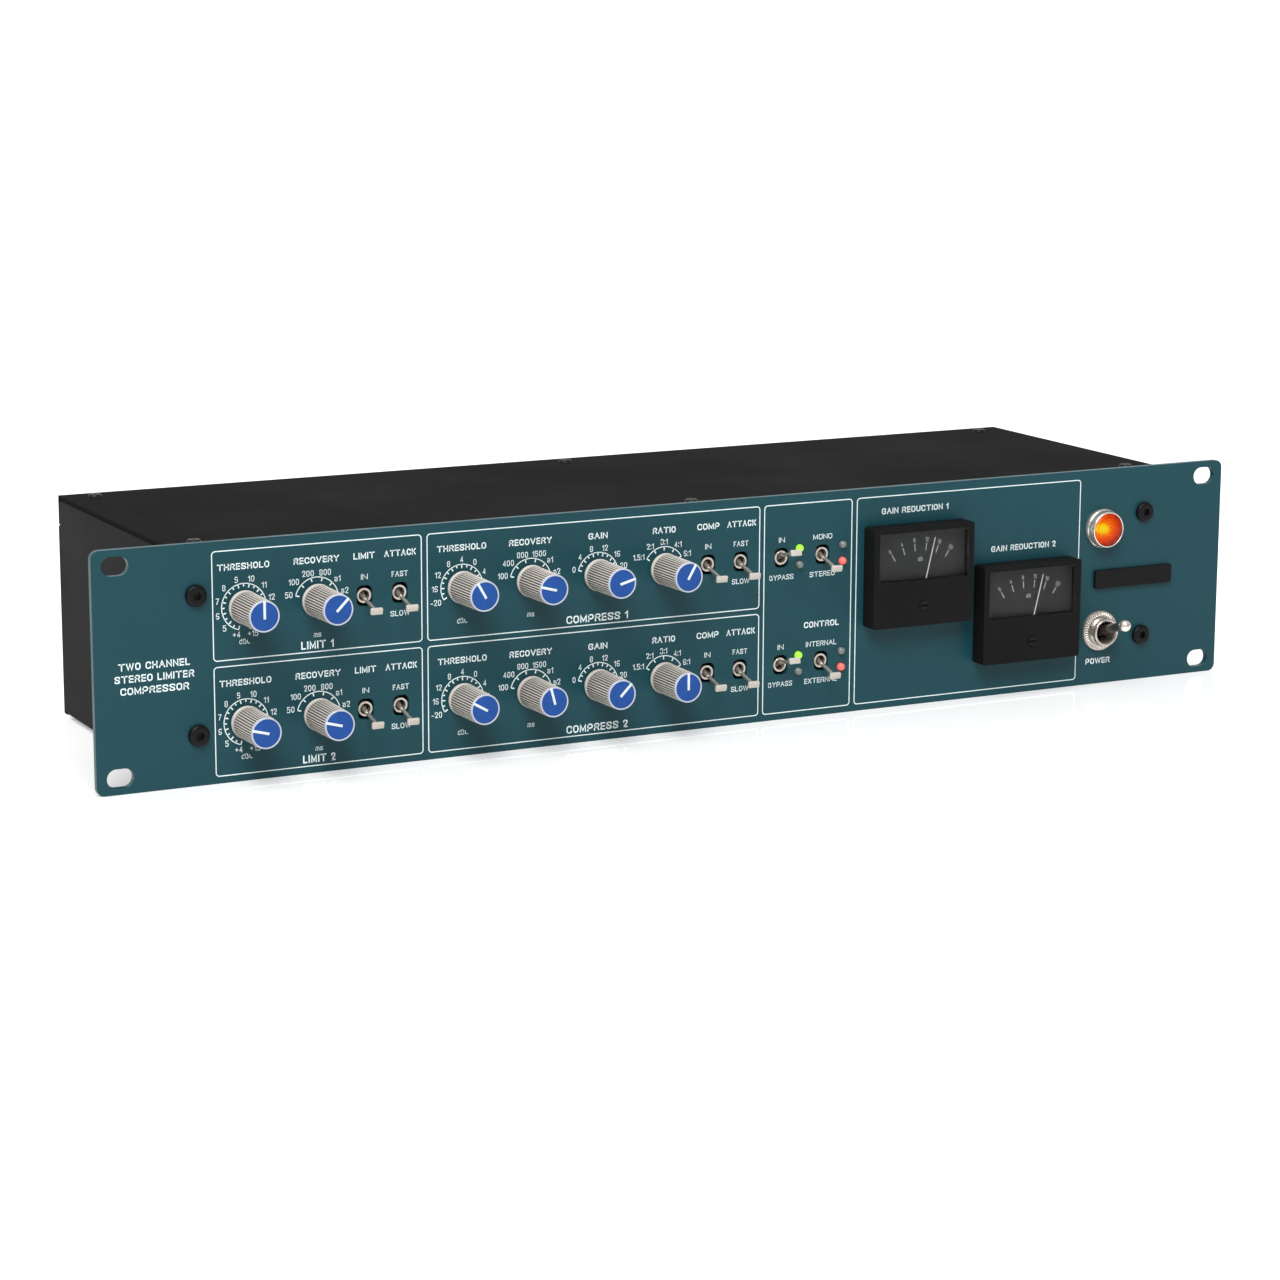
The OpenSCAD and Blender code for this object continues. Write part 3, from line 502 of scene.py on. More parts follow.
class Print:
    """Thin printing on a plane that faces the front (-1) or the back (1). Places are in mm on that plane."""

    def __init__(self, y, facing=-1, origin=(0, 0)):
        self.bm = bmesh.new()
        self.y = y
        self.facing = facing
        self.origin = origin

    def point(self, u, v, raised):
        side = -self.facing
        y = self.y + self.facing * PRINT_T * MM * raised
        return Vector((self.origin[0] + side * u * MM, y, self.origin[1] + v * MM))

    def ribbon(self, inner, outer, closed):
        """A thin strip between two rows of points."""
        rows = [[self.bm.verts.new(self.point(u, v, t)) for u, v in row] for row, t in
                ((inner, 0), (inner, 1), (outer, 1), (outer, 0))]
        count = len(inner)
        for i in range(count if closed else count - 1):
            j = (i + 1) % count
            for low, high in zip(rows, rows[1:]):
                self.bm.faces.new((low[i], low[j], high[j], high[i]))
        if not closed:
            for i in (0, count - 1):
                self.bm.faces.new([row[i] for row in rows])

    def frame(self, left, right, low, high, radius, width):
        """A rectangle's outline with round corners."""
        def corners(grow):
            points = []
            for cu, cv, start in (
                (right - radius, high - radius, 0),
                (left + radius, high - radius, 90),
                (left + radius, low + radius, 180),
                (right - radius, low + radius, 270),
            ):
                for step in range(7):
                    a = math.radians(start + 15 * step)
                    r = radius + grow
                    points.append((cu + r * math.cos(a), cv + r * math.sin(a)))
            return points

        self.ribbon(corners(-width / 2), corners(width / 2), True)

    def arc(self, centre, radius, width, start, end):
        """A strip of a circle. Angles are clockwise from up, in degrees."""
        count = max(2, int(abs(end - start) / 5) + 1)
        angles = [math.radians(start + (end - start) * i / (count - 1)) for i in range(count)]

        def row(r):
            return [(centre[0] + r * math.sin(a), centre[1] + r * math.cos(a)) for a in angles]

        self.ribbon(row(radius - width / 2), row(radius + width / 2), False)

    def tick(self, centre, angle, r0, r1, width):
        """A radial mark from radius r0 to r1."""
        a = math.radians(angle)
        out, side = Vector((math.sin(a), math.cos(a))), Vector((math.cos(a), -math.sin(a))) * width / 2
        middle = Vector(centre)
        left = [tuple(middle + out * r - side) for r in (r0, r1)]
        right = [tuple(middle + out * r + side) for r in (r0, r1)]
        self.ribbon(left, right, False)

    def stroke(self, points, width, closed):
        """A line of even width along some points, with mitred corners and squared ends."""
        count = len(points)
        left, right = [], []
        for i, point in enumerate(points):
            before = points[i - 1] if i or closed else None
            after = points[(i + 1) % count] if i < count - 1 or closed else None
            ways = [(point - before).normalized()] if before else []
            ways += [(after - point).normalized()] if after else []
            along = sum(ways, Vector((0, 0))).normalized()
            side = Vector((-along.y, along.x))
            reach = width / 2 / max(0.5, abs(side.dot(Vector((-ways[0].y, ways[0].x)))))
            if len(ways) == 1:
                point = point + along * (width / 2 if before else -width / 2)
            left.append(tuple(point + side * reach))
            right.append(tuple(point - side * reach))
        self.ribbon(left, right, closed)

    def text(self, words, u, v, cap, width=None, turn=0.0, weight=STROKE):
        """Words centred on a place, with capitals cap mm high and, if given, an overall width in mm."""
        grid = cap * (1 - weight) / CAP_UNITS
        natural = text_width(words, cap, weight)
        spaces = (len(words) - 1) * cap * (weight + LETTER_GAP) + cap * weight
        across = grid * ((width or natural) - spaces) / (natural - spaces) if natural > spaces else grid
        turning = Matrix.Rotation(math.radians(-turn), 2)
        x = -(width or natural) / 2 + cap * weight / 2
        for sign in words:
            if sign == " ":
                x += SPACE_UNITS * across + cap * (weight + LETTER_GAP)
                continue
            for points, closed in sign_strokes(sign):
                placed = [
                    Vector((u, v)) + turning @ Vector((x + p.x * across, (p.y - CAP_UNITS / 2) * grid))
                    for p in points
                ]
                self.stroke(placed, cap * weight, closed)
            x += sign_width(sign) * across + cap * (weight + LETTER_GAP)

    def piece(self, name, paint):
        return place_piece(name, new_mesh(name, self.bm, 30), paint)


# ---------------------------------------------------------------- front panel legends

LINE_W = 0.37
LINE_R = 1.3
SECTION_TOP, SECTION_BOTTOM = 40.45, -41.3
MID_GAP = (0.85, -1.45)
LIMIT_SECTION = (-196.8, -116.1)
COMPRESS_SECTION = (-113.8, 24.9)
SWITCH_SECTION = (27.0, 65.8)
METER_SECTION = (68.1, 172.1)
HEADING_RISE = 14.75
NAME_DROP = -16.3
UNIT_DROP = -12.6
ABOVE_LEVER = 7.0
BELOW_LEVER = -7.6
HEADING_CAP = 2.35
LABEL_CAP = 2.0
NAME_CAP = 2.9
SCALE_CAP = 2.2
UNIT_CAP = 1.9
TITLE_CAP = 2.6
REAR_CAP = 2.6
TITLE_X = -219.0
TITLE_RISE = 1.85
TITLE_LINE = 4.4
METER_NAME_RISE = 37.15
POWER_DROP = -12.6
SCALE_WEIGHT = 0.115
SMALL_WEIGHT = 0.125

PANEL_Z = PANEL_CENTRE.z / MM


def steps(start, end, step):
    return list(range(start, end + 1, step))


SCALES = {
    "limit_threshold": {
        "ticks": steps(-165, 165, 15),
        "labels": dict(zip(steps(-165, 165, 30), "+4 5 6 7 8 9 10 11 12 13 14 +15".split())),
        "unit": "dBu",
    },
    "limit_recovery": {
        "ticks": steps(-75, 75, 30),
        "labels": dict(zip(steps(-75, 75, 30), "50 100 200 800 a1 a2".split())),
        "unit": "ms",
    },
    "compress_threshold": {
        "ticks": steps(-120, 105, 15),
        "labels": dict(zip(steps(-120, 90, 30) + [105], "-20 16 12 8 4 0 4 8 +10".split())),
        "unit": "dBu",
    },
    "compress_recovery": {
        "ticks": steps(-75, 75, 30),
        "labels": dict(zip(steps(-75, 75, 30), "100 400 800 1500 a1 a2".split())),
        "unit": "ms",
    },
    "compress_gain": {
        "ticks": steps(-75, 75, 15),
        "labels": dict(zip(steps(-75, 75, 30), "0 4 8 12 16 20".split())),
        "unit": None,
    },
    "compress_ratio": {
        "ticks": steps(-60, 60, 30),
        "labels": dict(zip(steps(-60, 60, 30), "1.5:1 2:1 3:1 4:1 6:1".split())),
        "unit": None,
    },
}
ARC_R = 8.45
ARC_W = 0.34
TICK_W = 0.46
TICK_LABELLED = 7.0
TICK_BETWEEN = 7.35
LABEL_R = 9.7


def draw_scale(legend, knob):
    """The arc, ticks and numbers round one knob."""
    section, _, control = knob.split("_")
    scale = SCALES[f"{section}_{control}"]
    place = joint_place(knob + "_turn") / MM
    centre = (place.x, place.z)
    ticks = scale["ticks"]
    legend.arc(centre, ARC_R, ARC_W, ticks[0], ticks[-1])
    for angle in ticks:
        legend.tick(centre, angle, TICK_LABELLED if angle in scale["labels"] else TICK_BETWEEN, ARC_R, TICK_W)
    for angle, words in scale["labels"].items():
        a = math.radians(angle)
        half = text_width(words, SCALE_CAP, SCALE_WEIGHT) / 2
        outwards = math.copysign(min(1.0, abs(math.sin(a)) * 1.4), math.sin(a))
        u = centre[0] + LABEL_R * math.sin(a) + outwards * half
        v = centre[1] + LABEL_R * math.cos(a) * 1.06
        legend.text(words, u, v, SCALE_CAP, weight=SCALE_WEIGHT)
    if scale["unit"]:
        legend.text(scale["unit"], centre[0], centre[1] + UNIT_DROP, UNIT_CAP, weight=SCALE_WEIGHT)


def front_outlines():
    legend = Print(FACE_Y)
    for left, right in (LIMIT_SECTION, COMPRESS_SECTION):
        legend.frame(left, right, PANEL_Z + MID_GAP[0], PANEL_Z + SECTION_TOP, LINE_R, LINE_W)
        legend.frame(left, right, PANEL_Z + SECTION_BOTTOM, PANEL_Z + MID_GAP[1], LINE_R, LINE_W)
    for left, right in (SWITCH_SECTION, METER_SECTION):
        legend.frame(left, right, PANEL_Z + SECTION_BOTTOM, PANEL_Z + SECTION_TOP, LINE_R, LINE_W)
    legend.piece("section_outlines", "print")


def front_scales():
    legend = Print(FACE_Y)
    for knob in KNOBS:
        draw_scale(legend, knob)
    legend.piece("knob_scales", "print")


def front_lettering():
    legend = Print(FACE_Y)
    for channel, row in ROWS.items():
        z = row / MM
        limit_x = [joint_place(f"limit_{channel}_{c}_turn").x / MM for c in ("threshold", "recovery")]
        compress_x = [
            joint_place(f"compress_{channel}_{c}_turn").x / MM
            for c in ("threshold", "recovery", "gain", "ratio")
        ]
        switch_x = {
            name: joint_place(name + "_flip").x / MM
            for name in (f"limit_{channel}_in", f"limit_{channel}_attack",
                         f"compress_{channel}_in", f"compress_{channel}_attack", f"bypass_{channel}")
        }
        headings = [("THRESHOLD", x, 19.7) for x in (limit_x[0], compress_x[0])]
        headings += [("RECOVERY", x, 17.5) for x in (limit_x[1], compress_x[1])]
        headings += [("GAIN", compress_x[2], 8.0), ("RATIO", compress_x[3], 9.7)]
        headings += [
            ("LIMIT", switch_x[f"limit_{channel}_in"], 8.3),
            ("COMP", switch_x[f"compress_{channel}_in"], 9.5),
            ("ATTACK", switch_x[f"limit_{channel}_attack"] + 0.2, 12.4),
            ("ATTACK", switch_x[f"compress_{channel}_attack"] + 0.2, 12.4),
        ]
        for words, x, width in headings:
            legend.text(words, x, z + HEADING_RISE, HEADING_CAP, width)
        for name, x in switch_x.items():
            if name.endswith("_in"):
                legend.text("IN", x, z + ABOVE_LEVER, LABEL_CAP, 2.6, weight=SMALL_WEIGHT)
            elif name.endswith("_attack"):
                legend.text("FAST", x, z + ABOVE_LEVER, LABEL_CAP, 6.4, weight=SMALL_WEIGHT)
                legend.text("SLOW", x, z + BELOW_LEVER, LABEL_CAP, 7.6, weight=SMALL_WEIGHT)
            else:
                legend.text("IN", x, z + ABOVE_LEVER, LABEL_CAP, 2.6, weight=SMALL_WEIGHT)
                legend.text("BYPASS", x, z + BELOW_LEVER, LABEL_CAP, 10.6, weight=SMALL_WEIGHT)
        legend.text(f"LIMIT {channel}", sum(LIMIT_SECTION) / 2 - 0.7, z + NAME_DROP, NAME_CAP, 12.6)
        legend.text(f"COMPRESS {channel}", sum(COMPRESS_SECTION) / 2, z + NAME_DROP, NAME_CAP, 25.8)
    stereo = joint_place("stereo_flip") / MM
    control = joint_place("control_flip") / MM
    legend.text("MONO", stereo.x, stereo.z + ABOVE_LEVER, LABEL_CAP, 8.5, weight=SMALL_WEIGHT)
    legend.text("STEREO", stereo.x, stereo.z + BELOW_LEVER, LABEL_CAP, 11.2, weight=SMALL_WEIGHT)
    legend.text("CONTROL", control.x, control.z + HEADING_RISE, HEADING_CAP, 15.6)
    legend.text("INTERNAL", control.x, control.z + ABOVE_LEVER, LABEL_CAP, 13.7, weight=SMALL_WEIGHT)
    legend.text("EXTERNAL", control.x, control.z + BELOW_LEVER, LABEL_CAP, 14.6, weight=SMALL_WEIGHT)
    for number in (1, 2):
        zero = joint_place(f"meter_{number}_zero_turn") / MM
        legend.text(f"GAIN REDUCTION {number}", zero.x + 0.2, zero.z + METER_NAME_RISE, HEADING_CAP, 30.5)
    power = joint_place("power_flip") / MM
    legend.text("POWER", power.x, power.z + POWER_DROP, HEADING_CAP, 11.8)
    for line, (words, width) in enumerate(
        (("TWO CHANNEL", 26.5), ("STEREO LIMITER", 29.5), ("COMPRESSOR", 25.5))
    ):
        legend.text(words, TITLE_X, PANEL_Z + TITLE_RISE - TITLE_LINE * line, TITLE_CAP, width)
    legend.piece("panel_lettering", "print")


front_outlines()
front_scales()
front_lettering()


# ---------------------------------------------------------------- knobs

KNOB_RIBS = 37
STEPS_PER_RIB = 8
RIB_SPAN = (2.3, 19.2)
GROOVE_BELOW = -0.3
KNOB_FRONT = 20.5


def ribbed(outer, depth):
    """Radius round a knob whose ribs are depth mm high."""
    return lambda angle: outer - depth * (0.5 - 0.5 * math.cos(KNOB_RIBS * angle)) ** 1.5


def knob_meshes():
    grip = [
        (0.6, 4.6), (0.6, 5.95), (0.85, 6.1), (1.75, 6.1), (2.0, 6.0), (2.15, 5.75),
        (2.4, ribbed(6.0, 0.55)), (10.0, ribbed(5.9, 0.6)), (18.8, ribbed(5.78, 0.6)),
        (19.3, ribbed(5.74, 0.35)), (19.5, 5.4), (19.5, 4.6),
    ]
    rim = rounded([(19.4, 5.0), (19.4, 5.72), (KNOB_FRONT, 5.68), (KNOB_FRONT, 5.12), (19.6, 5.08)], 0.28)
    cap = rounded(
        [(19.5, 0), (19.5, 5.06), (KNOB_FRONT - 0.05, 5.06), (KNOB_FRONT - 0.12, 3.4), (KNOB_FRONT - 0.14, 0)], 0.16
    )
    return {
        "grip": revolve("knob_grip", grip, segments=KNOB_RIBS * STEPS_PER_RIB, crease=60, closed=True),
        "rim": revolve("knob_rim", rim, segments=72, closed=True),
        "cap": revolve("knob_cap", cap, segments=72),
        "pointer": block("knob_pointer", (0.95, 0.4, 6.6), (0, -KNOB_FRONT, 2.35), 0.12, segments=2),
    }


# Angle that each knob's pointer is set to, in degrees clockwise from up
KNOB_SETTINGS = {
    "limit_1_threshold": 0, "limit_1_recovery": 45, "limit_2_threshold": -75, "limit_2_recovery": -75,
    "compress_1_threshold": -30, "compress_1_recovery": -75, "compress_1_gain": 75, "compress_1_ratio": 30,
    "compress_2_threshold": -60, "compress_2_recovery": -15, "compress_2_gain": 45, "compress_2_ratio": 0,
}


def paint_groove_shade(mesh):
    """Gives the floors of a grip's grooves a darker copy of the grip plastic, which is painted shade in the
    grooves.
    """
    mesh.materials.append(PAINT["grip"])
    mesh.materials.append(PAINT["painted_groove_shade"])
    for face in mesh.polygons:
        angle = math.atan2(face.center.z, face.center.x)
        on_ribs = RIB_SPAN[0] * MM < -face.center.y < RIB_SPAN[1] * MM
        # Groove floors take the painted shade material.
        if on_ribs and math.cos(KNOB_RIBS * angle) < GROOVE_BELOW:
            face.material_index = 1


def build_knobs():
    meshes = knob_meshes()
    paint_groove_shade(meshes["grip"])
    for knob in KNOBS:
        place = joint_place(knob + "_turn")
        place.y = FACE_Y
        matrix = Matrix.Translation(place) @ Matrix.Rotation(math.radians(KNOB_SETTINGS[knob]), 4, "Y")
        for part, mesh in meshes.items():
            replaces = (knob + "_knob",) if part == "grip" else ()
            place_piece(f"{knob}_{part}", mesh, part, knob + "_control", matrix, replaces)


build_knobs()


# ---------------------------------------------------------------- toggle switches

LEVER_TILT = 14.0
TIP_SIZE = (4.6, 1.4, 2.4)


def lever_reach():
    """Distance from a small lever's pivot to its end, in mm."""
    low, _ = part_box("bypass_1_lever")
    pivot = joint_place("bypass_1_flip")
    return (pivot.y - low.y) / MM / math.cos(math.radians(LEVER_TILT)) - 0.3


def build_toggles():
    reach = lever_reach()
    stem = rounded(
        [(-3.4, 0), (-3.4, 0.6), (-1.5, 0.65), (-0.8, 1.6), (0, 1.7), (1.2, 1.45), (2.4, 1.05), (4.2, 0.82),
         (reach - 0.8, 0.58), (reach - 0.8, 0)], 0.5
    )
    stem_mesh = revolve("lever_stem", stem, segments=24, crease=60)
    tip_mesh = block("lever_tip", TIP_SIZE, (0, -(reach - TIP_SIZE[1] / 2), 0), 0.34)
    for toggle in TOGGLES:
        up = 1 if JOINTS[toggle + "_flip"]["range_deg"][0] < 0 else -1
        turn = Matrix.Rotation(math.radians(-up * LEVER_TILT), 4, "X")
        matrix = Matrix.Translation(joint_place(toggle + "_flip")) @ turn
        body = toggle + "_toggle"
        place_piece(toggle + "_stem", stem_mesh, "nickel", body, matrix, (toggle + "_lever",))
        place_piece(toggle + "_tip", tip_mesh, "tip", body, matrix)


build_toggles()
dress("toggle_switch_bodies", "nickel")


# ---------------------------------------------------------------- power switch

POWER_TILT = 16.0
NUT_TEETH = 44


def build_power_switch():
    pivot = joint_place("power_flip")
    centre = Vector((pivot.x, FACE_Y, pivot.z))
    low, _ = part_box("power_lever")
    ball = 2.4
    middle = ((pivot.y - low.y) / MM - ball) / math.cos(math.radians(POWER_TILT))
    neck = 1.5
    lever = [(-1.6, 0), (-1.4, 1.6), (0, 2.45), (1.8, 2.1), (5.0, 1.95), (middle - 5, 1.7), (middle - 3, neck)]
    lever += [
        (middle + ball * math.sin(a), ball * math.cos(a)) for a in (math.radians(d) for d in range(-50, 90, 10))
    ]
    lever += [(middle + ball, 0)]
    turn = Matrix.Rotation(math.radians(-POWER_TILT), 4, "X")
    bat = revolve("power_bat", lever, segments=40, crease=50)
    # The bat below the ball takes the darker chrome copy, a painted dark reflection of the dim front.
    for paint in ("chrome", "painted_reflection_chrome"):
        bat.materials.append(PAINT[paint])
    for face in bat.polygons:
        face.material_index = int(-face.center.y < (middle - ball) * MM)
    matrix = Matrix.Translation(pivot) @ turn
    place_piece("power_bat", bat, "chrome", "power_toggle", matrix, ("power_lever",))

    def serrated(height, depth):
        return lambda angle: height - depth * (0.5 - 0.5 * math.cos(NUT_TEETH * angle))

    nut = [
        (0.05, 5.9), (0.05, 8.2), (1.1, 8.2), (1.45, 8.0), (1.5, 7.7), (serrated(1.75, 0.4), 7.5),
        (serrated(1.9, 0.42), 6.7), (2.0, 6.45), (2.0, 5.9),
    ]
    place_piece(
        "power_dress_nut", revolve("power_dress_nut", nut, segments=NUT_TEETH * 6, crease=40, closed=True),
        "nickel", matrix=Matrix.Translation(centre), replaces=("power_switch_nut",),
    )
    thread = [(h / 2, 5.8 if h % 2 else 5.45) for h in range(0, 10)]
    bushing = [(-2.0, 4.4), (-2.0, 5.4)] + thread
    bushing += rounded([(4.8, 5.8), (6.0, 5.55), (6.0, 4.75), (5.2, 4.4), (0.0, 4.4)], 0.3)[1:]
    place_piece(
        "power_bushing", revolve("power_bushing", bushing, segments=72, closed=True), "nickel",
        matrix=Matrix.Translation(centre), replaces=("power_switch_body",),
    )


build_power_switch()


# ---------------------------------------------------------------- lamp, lights, screws and badge


def build_lamp():
    low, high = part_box("lamp_bezel")
    centre = Vector(((low.x + high.x) / 2, FACE_Y, (low.z + high.z) / 2))
    matrix = Matrix.Translation(centre)
    bezel = rounded(
        [(-2.0, 5.9), (0.02, 5.9), (0.02, 8.0), (1.7, 7.98), (2.2, 7.45), (4.6, 7.4), (5.2, 7.1), (5.2, 6.66),
         (1.2, 6.62), (1.2, 0.01)], 0.32
    )
    place_piece(
        "lamp_ring", revolve("lamp_ring", bezel[:-1], segments=96), "chrome", matrix=matrix,
        replaces=("lamp_bezel",),
    )
    facets = 12
    bm = bmesh.new()
    rings = []
    for height, radius, twist in ((1.3, 6.5, 0), (5.0, 6.5, 0), (5.75, 5.3, 0.5), (6.3, 3.3, 0), (6.5, 1.7, 0.5)):
        angles = [math.tau * (i + twist) / facets for i in range(facets)]
        rings.append([
            bm.verts.new((radius * MM * math.cos(a), -height * MM, radius * MM * math.sin(a))) for a in angles
        ])
    for first, second in zip(rings, rings[1:]):
        leads = first is rings[1] or first is rings[3]
        for i in range(facets):
            j = (i + 1) % facets
            if first is rings[0]:
                bm.faces.new((first[i], first[j], second[j], second[i]))
            elif leads:
                bm.faces.new((first[i], first[j], second[i]))
                bm.faces.new((first[j], second[j], second[i]))
            else:
                bm.faces.new((first[i], second[j], second[i]))
                bm.faces.new((first[i], first[j], second[j]))
    bm.faces.new(rings[-1])
    bm.faces.new(rings[0][::-1])
    place_piece(
        "lamp_lens", new_mesh("lamp_lens", bm, 3), "jewel", matrix=matrix, replaces=("lamp_jewel",)
    )


def build_leds():
    """Round-nosed lights: the upper one of each left pair and the lower one of each right pair are lit."""
    low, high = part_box("indicator_leds")
    radius = 1.5 * MM
    columns = {"green": low.x + radius, "red": high.x - radius}
    spread = 3.2 * MM
    dome = [(-4.0, 0), (-4.0, 1.5), (0.4, 1.5)]
    dome += [(0.4 + 1.5 * math.sin(math.radians(a)), 1.5 * math.cos(math.radians(a))) for a in range(15, 90, 15)]
    dome += [(1.9, 0)]
    for paint in ("led_green", "led_red", "led_off"):
        mesh = revolve(paint, dome, segments=32, crease=50)
        mesh.materials.append(PAINT[paint])
    for colour, x in columns.items():
        for channel, row in ROWS.items():
            for level in (1, -1):
                lit = level == (1 if colour == "green" else -1)
                paint = f"led_{colour}" if lit else "led_off"
                place = Matrix.Translation((x, FACE_Y, row + level * spread))
                name = f"led_{colour}_{channel}_{'upper' if level > 0 else 'lower'}"
                place_piece(name, bpy.data.meshes[paint], paint, matrix=place,
                            replaces=("indicator_leds",))


def build_panel_screws():
    """Black button heads with a hexagon socket."""

    def hexagon(apothem):
        return lambda angle: apothem / math.cos((angle % (math.pi / 3)) - math.pi / 6)

    head = rounded([(0.02, 0.5), (0.02, 3.95), (1.2, 4.0), (2.0, 3.65), (2.2, 3.0), (2.2, 1.9)], 0.4)
    head += [(2.15, hexagon(1.4)), (0.7, hexagon(1.36)), (0.55, 0)]
    mesh = revolve("button_head", [(0.02, 0)] + head, segments=48, crease=40)
    low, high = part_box("panel_screws")
    edge = 4.0 * MM
    for side, x in (("left", low.x + edge), ("right", high.x - edge)):
        for level, z in (("lower", low.z + edge), ("upper", high.z - edge)):
            place_piece(
                f"panel_screw_{side}_{level}", mesh, "black_steel",
                matrix=Matrix.Translation((x, FACE_Y, z)), replaces=("panel_screws",),
            )


build_lamp()
build_leds()
build_panel_screws()
dress("name_badge", "badge")


# ---------------------------------------------------------------- meters

METER_LABELS = dict(zip((-32.5, -19.5, -6.5, 6.5, 19.5, 32.5), "0 4 8 12 16 20".split()))
NEEDLE_SETTING = 13.7
NEEDLE_REACH = 27.0
DIAL_TICKS = (21.3, 24.3)
DIAL_TICK_W = 0.36
DIAL_LABEL_R = 25.8
DIAL_UNIT_R = 18.0
DIAL_CAP = 1.6
# Edges of a meter's window about its needle's pivot: left, right, bottom and top
WINDOW_EDGES = (-20.15, 20.1, 10.8, 29.2)
# Width of the painted shadow line along the window's left and top edges, in mm.
SHADOW_GAP_W = 0.4
# Strip in the dial's lighter colour over the window opening's right inner wall: painted light that takes out the
# shade there.
LIGHT_STRIP_SIZE = (0.15, 1.4, 18.3)
LIGHT_STRIP_PLACE = (20.25, 0.75, 20.0)


def build_meters():
    dial_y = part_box("meter_dials")[0].y
    window_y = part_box("meter_windows")[0].y
    staff = revolve("needle_hub", rounded([(-0.24, 0), (-0.24, 2.3), (0.15, 2.3), (0.34, 1.2), (0.34, 0)], 0.1), 32)
    bm = bmesh.new()
    outline = [(-0.34, -4.0), (0.34, -4.0), (0.2, 0), (0.11, NEEDLE_REACH), (-0.11, NEEDLE_REACH), (-0.2, 0)]
    layers = [[bm.verts.new((x * MM, y * MM, z * MM)) for x, z in outline] for y in (-0.14, 0.14)]
    bm.faces.new(layers[0])
    bm.faces.new(layers[1][::-1])
    for i in range(len(outline)):
        j = (i + 1) % len(outline)
        bm.faces.new((layers[0][i], layers[0][j], layers[1][j], layers[1][i]))
    blade = new_mesh("needle_blade", bm, 30)
    painted_light_strip = block("window_painted_light_strip", LIGHT_STRIP_SIZE, LIGHT_STRIP_PLACE, 0.03)
    for number in (1, 2):
        pivot = joint_place(f"meter_{number}_swing")
        turn = Matrix.Rotation(math.radians(NEEDLE_SETTING), 4, "Y")
        body = f"meter_{number}_pointer"
        matrix = Matrix.Translation(pivot) @ turn
        node = f"meter_{number}_needle"
        place_piece(f"meter_{number}_blade", blade, "needle", body, matrix, (node,))
        place_piece(f"meter_{number}_hub", staff, "needle", body, matrix)
        legend = Print(dial_y, origin=(pivot.x, pivot.z))
        for angle, words in METER_LABELS.items():
            a = math.radians(angle)
            legend.tick((0, 0), angle, *DIAL_TICKS, DIAL_TICK_W)
            u, v = DIAL_LABEL_R * math.sin(a), DIAL_LABEL_R * math.cos(a)
            legend.text(words, u, v, DIAL_CAP, turn=angle, weight=SCALE_WEIGHT)
        legend.text("dB", 0, DIAL_UNIT_R, DIAL_CAP, weight=SCALE_WEIGHT)
        legend.piece(f"meter_{number}_scale", "dial_print")
        # Painted shadow: a dark line only along the window's left and top edges, where the gap between window and
        # case is in shade.
        edge = Print(window_y, origin=(pivot.x, pivot.z))
        left, right, bottom, top = WINDOW_EDGES
        edge.stroke([Vector(p) for p in ((left, bottom), (left, top), (right, top))], SHADOW_GAP_W, False)
        edge.piece(f"meter_{number}_gasket", "painted_shadow_gap")
        # The strip over the right inner wall is painted light, lighter than the shaded wall would be.
        beside = Matrix.Translation((pivot.x, window_y, pivot.z))
        place_piece(f"meter_{number}_window_painted_light_strip", painted_light_strip, "dial", matrix=beside)
        dress(f"meter_{number}_zero_screw", "black_steel")
    dress("meter_cases", "meter")
    dress("meter_windows", "window")
    dress("meter_dials", "dial")
    dress("meter_movements", "zinc")


build_meters()


# ---------------------------------------------------------------- case, rear and insides


def rear_lettering():
    legend = Print(REAR_Y, facing=1)
    sockets = {"INPUT 1": "input_1_latch", "INPUT 2": "input_2_latch"}
    for words, node in sockets.items():
        place = node_centre(node) / MM
        legend.text(words, -place.x, place.z + 7.5, REAR_CAP, weight=SMALL_WEIGHT)
    low, high = (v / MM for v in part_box("output_sockets"))
    half = 13.0
    for words, x in (("OUTPUT 1", low.x + half), ("OUTPUT 2", high.x - half)):
        legend.text(words, -x, high.z + 4.0, REAR_CAP, weight=SMALL_WEIGHT)
    low, high = (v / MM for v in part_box("control_jacks"))
    legend.text("CONTROL LINK", -(low.x + high.x) / 2, high.z + 8.5, REAR_CAP, weight=SMALL_WEIGHT)
    for words, x in (("1", low.x + 8.0), ("2", high.x - 8.0)):
        legend.text(words, -x, high.z + 3.0, 2.4, weight=SMALL_WEIGHT)
    low, high = (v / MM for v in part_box("mains_inlet"))
    legend.text("MAINS INPUT", -(low.x + high.x) / 2, high.z + 4.0, REAR_CAP, weight=SMALL_WEIGHT)
    legend.piece("rear_lettering", "rear_print")


rear_lettering()
dress("front_panel", "panel")
dress("chassis_tray", "case")
dress("rear_panel", "case")
dress("top_cover", "cover")
dress("case_screws", "black_steel")
dress("control_pots", "zinc")
dress("control_board", "board")
dress("main_board", "board")
dress("board_standoffs", "brass")
dress("audio_transformers", "laminations")
dress("filter_capacitors", "sleeve")
dress("mains_transformer", "tape")
dress("input_sockets", "socket")
dress("output_sockets", "socket")
dress("control_jacks", "black_plastic")
dress("mains_inlet", "black_plastic")
dress("fuse_drawer", "black_plastic")
for number in (1, 2):
    dress(f"input_{number}_latch", "nickel")


# ---------------------------------------------------------------- stage, light and camera

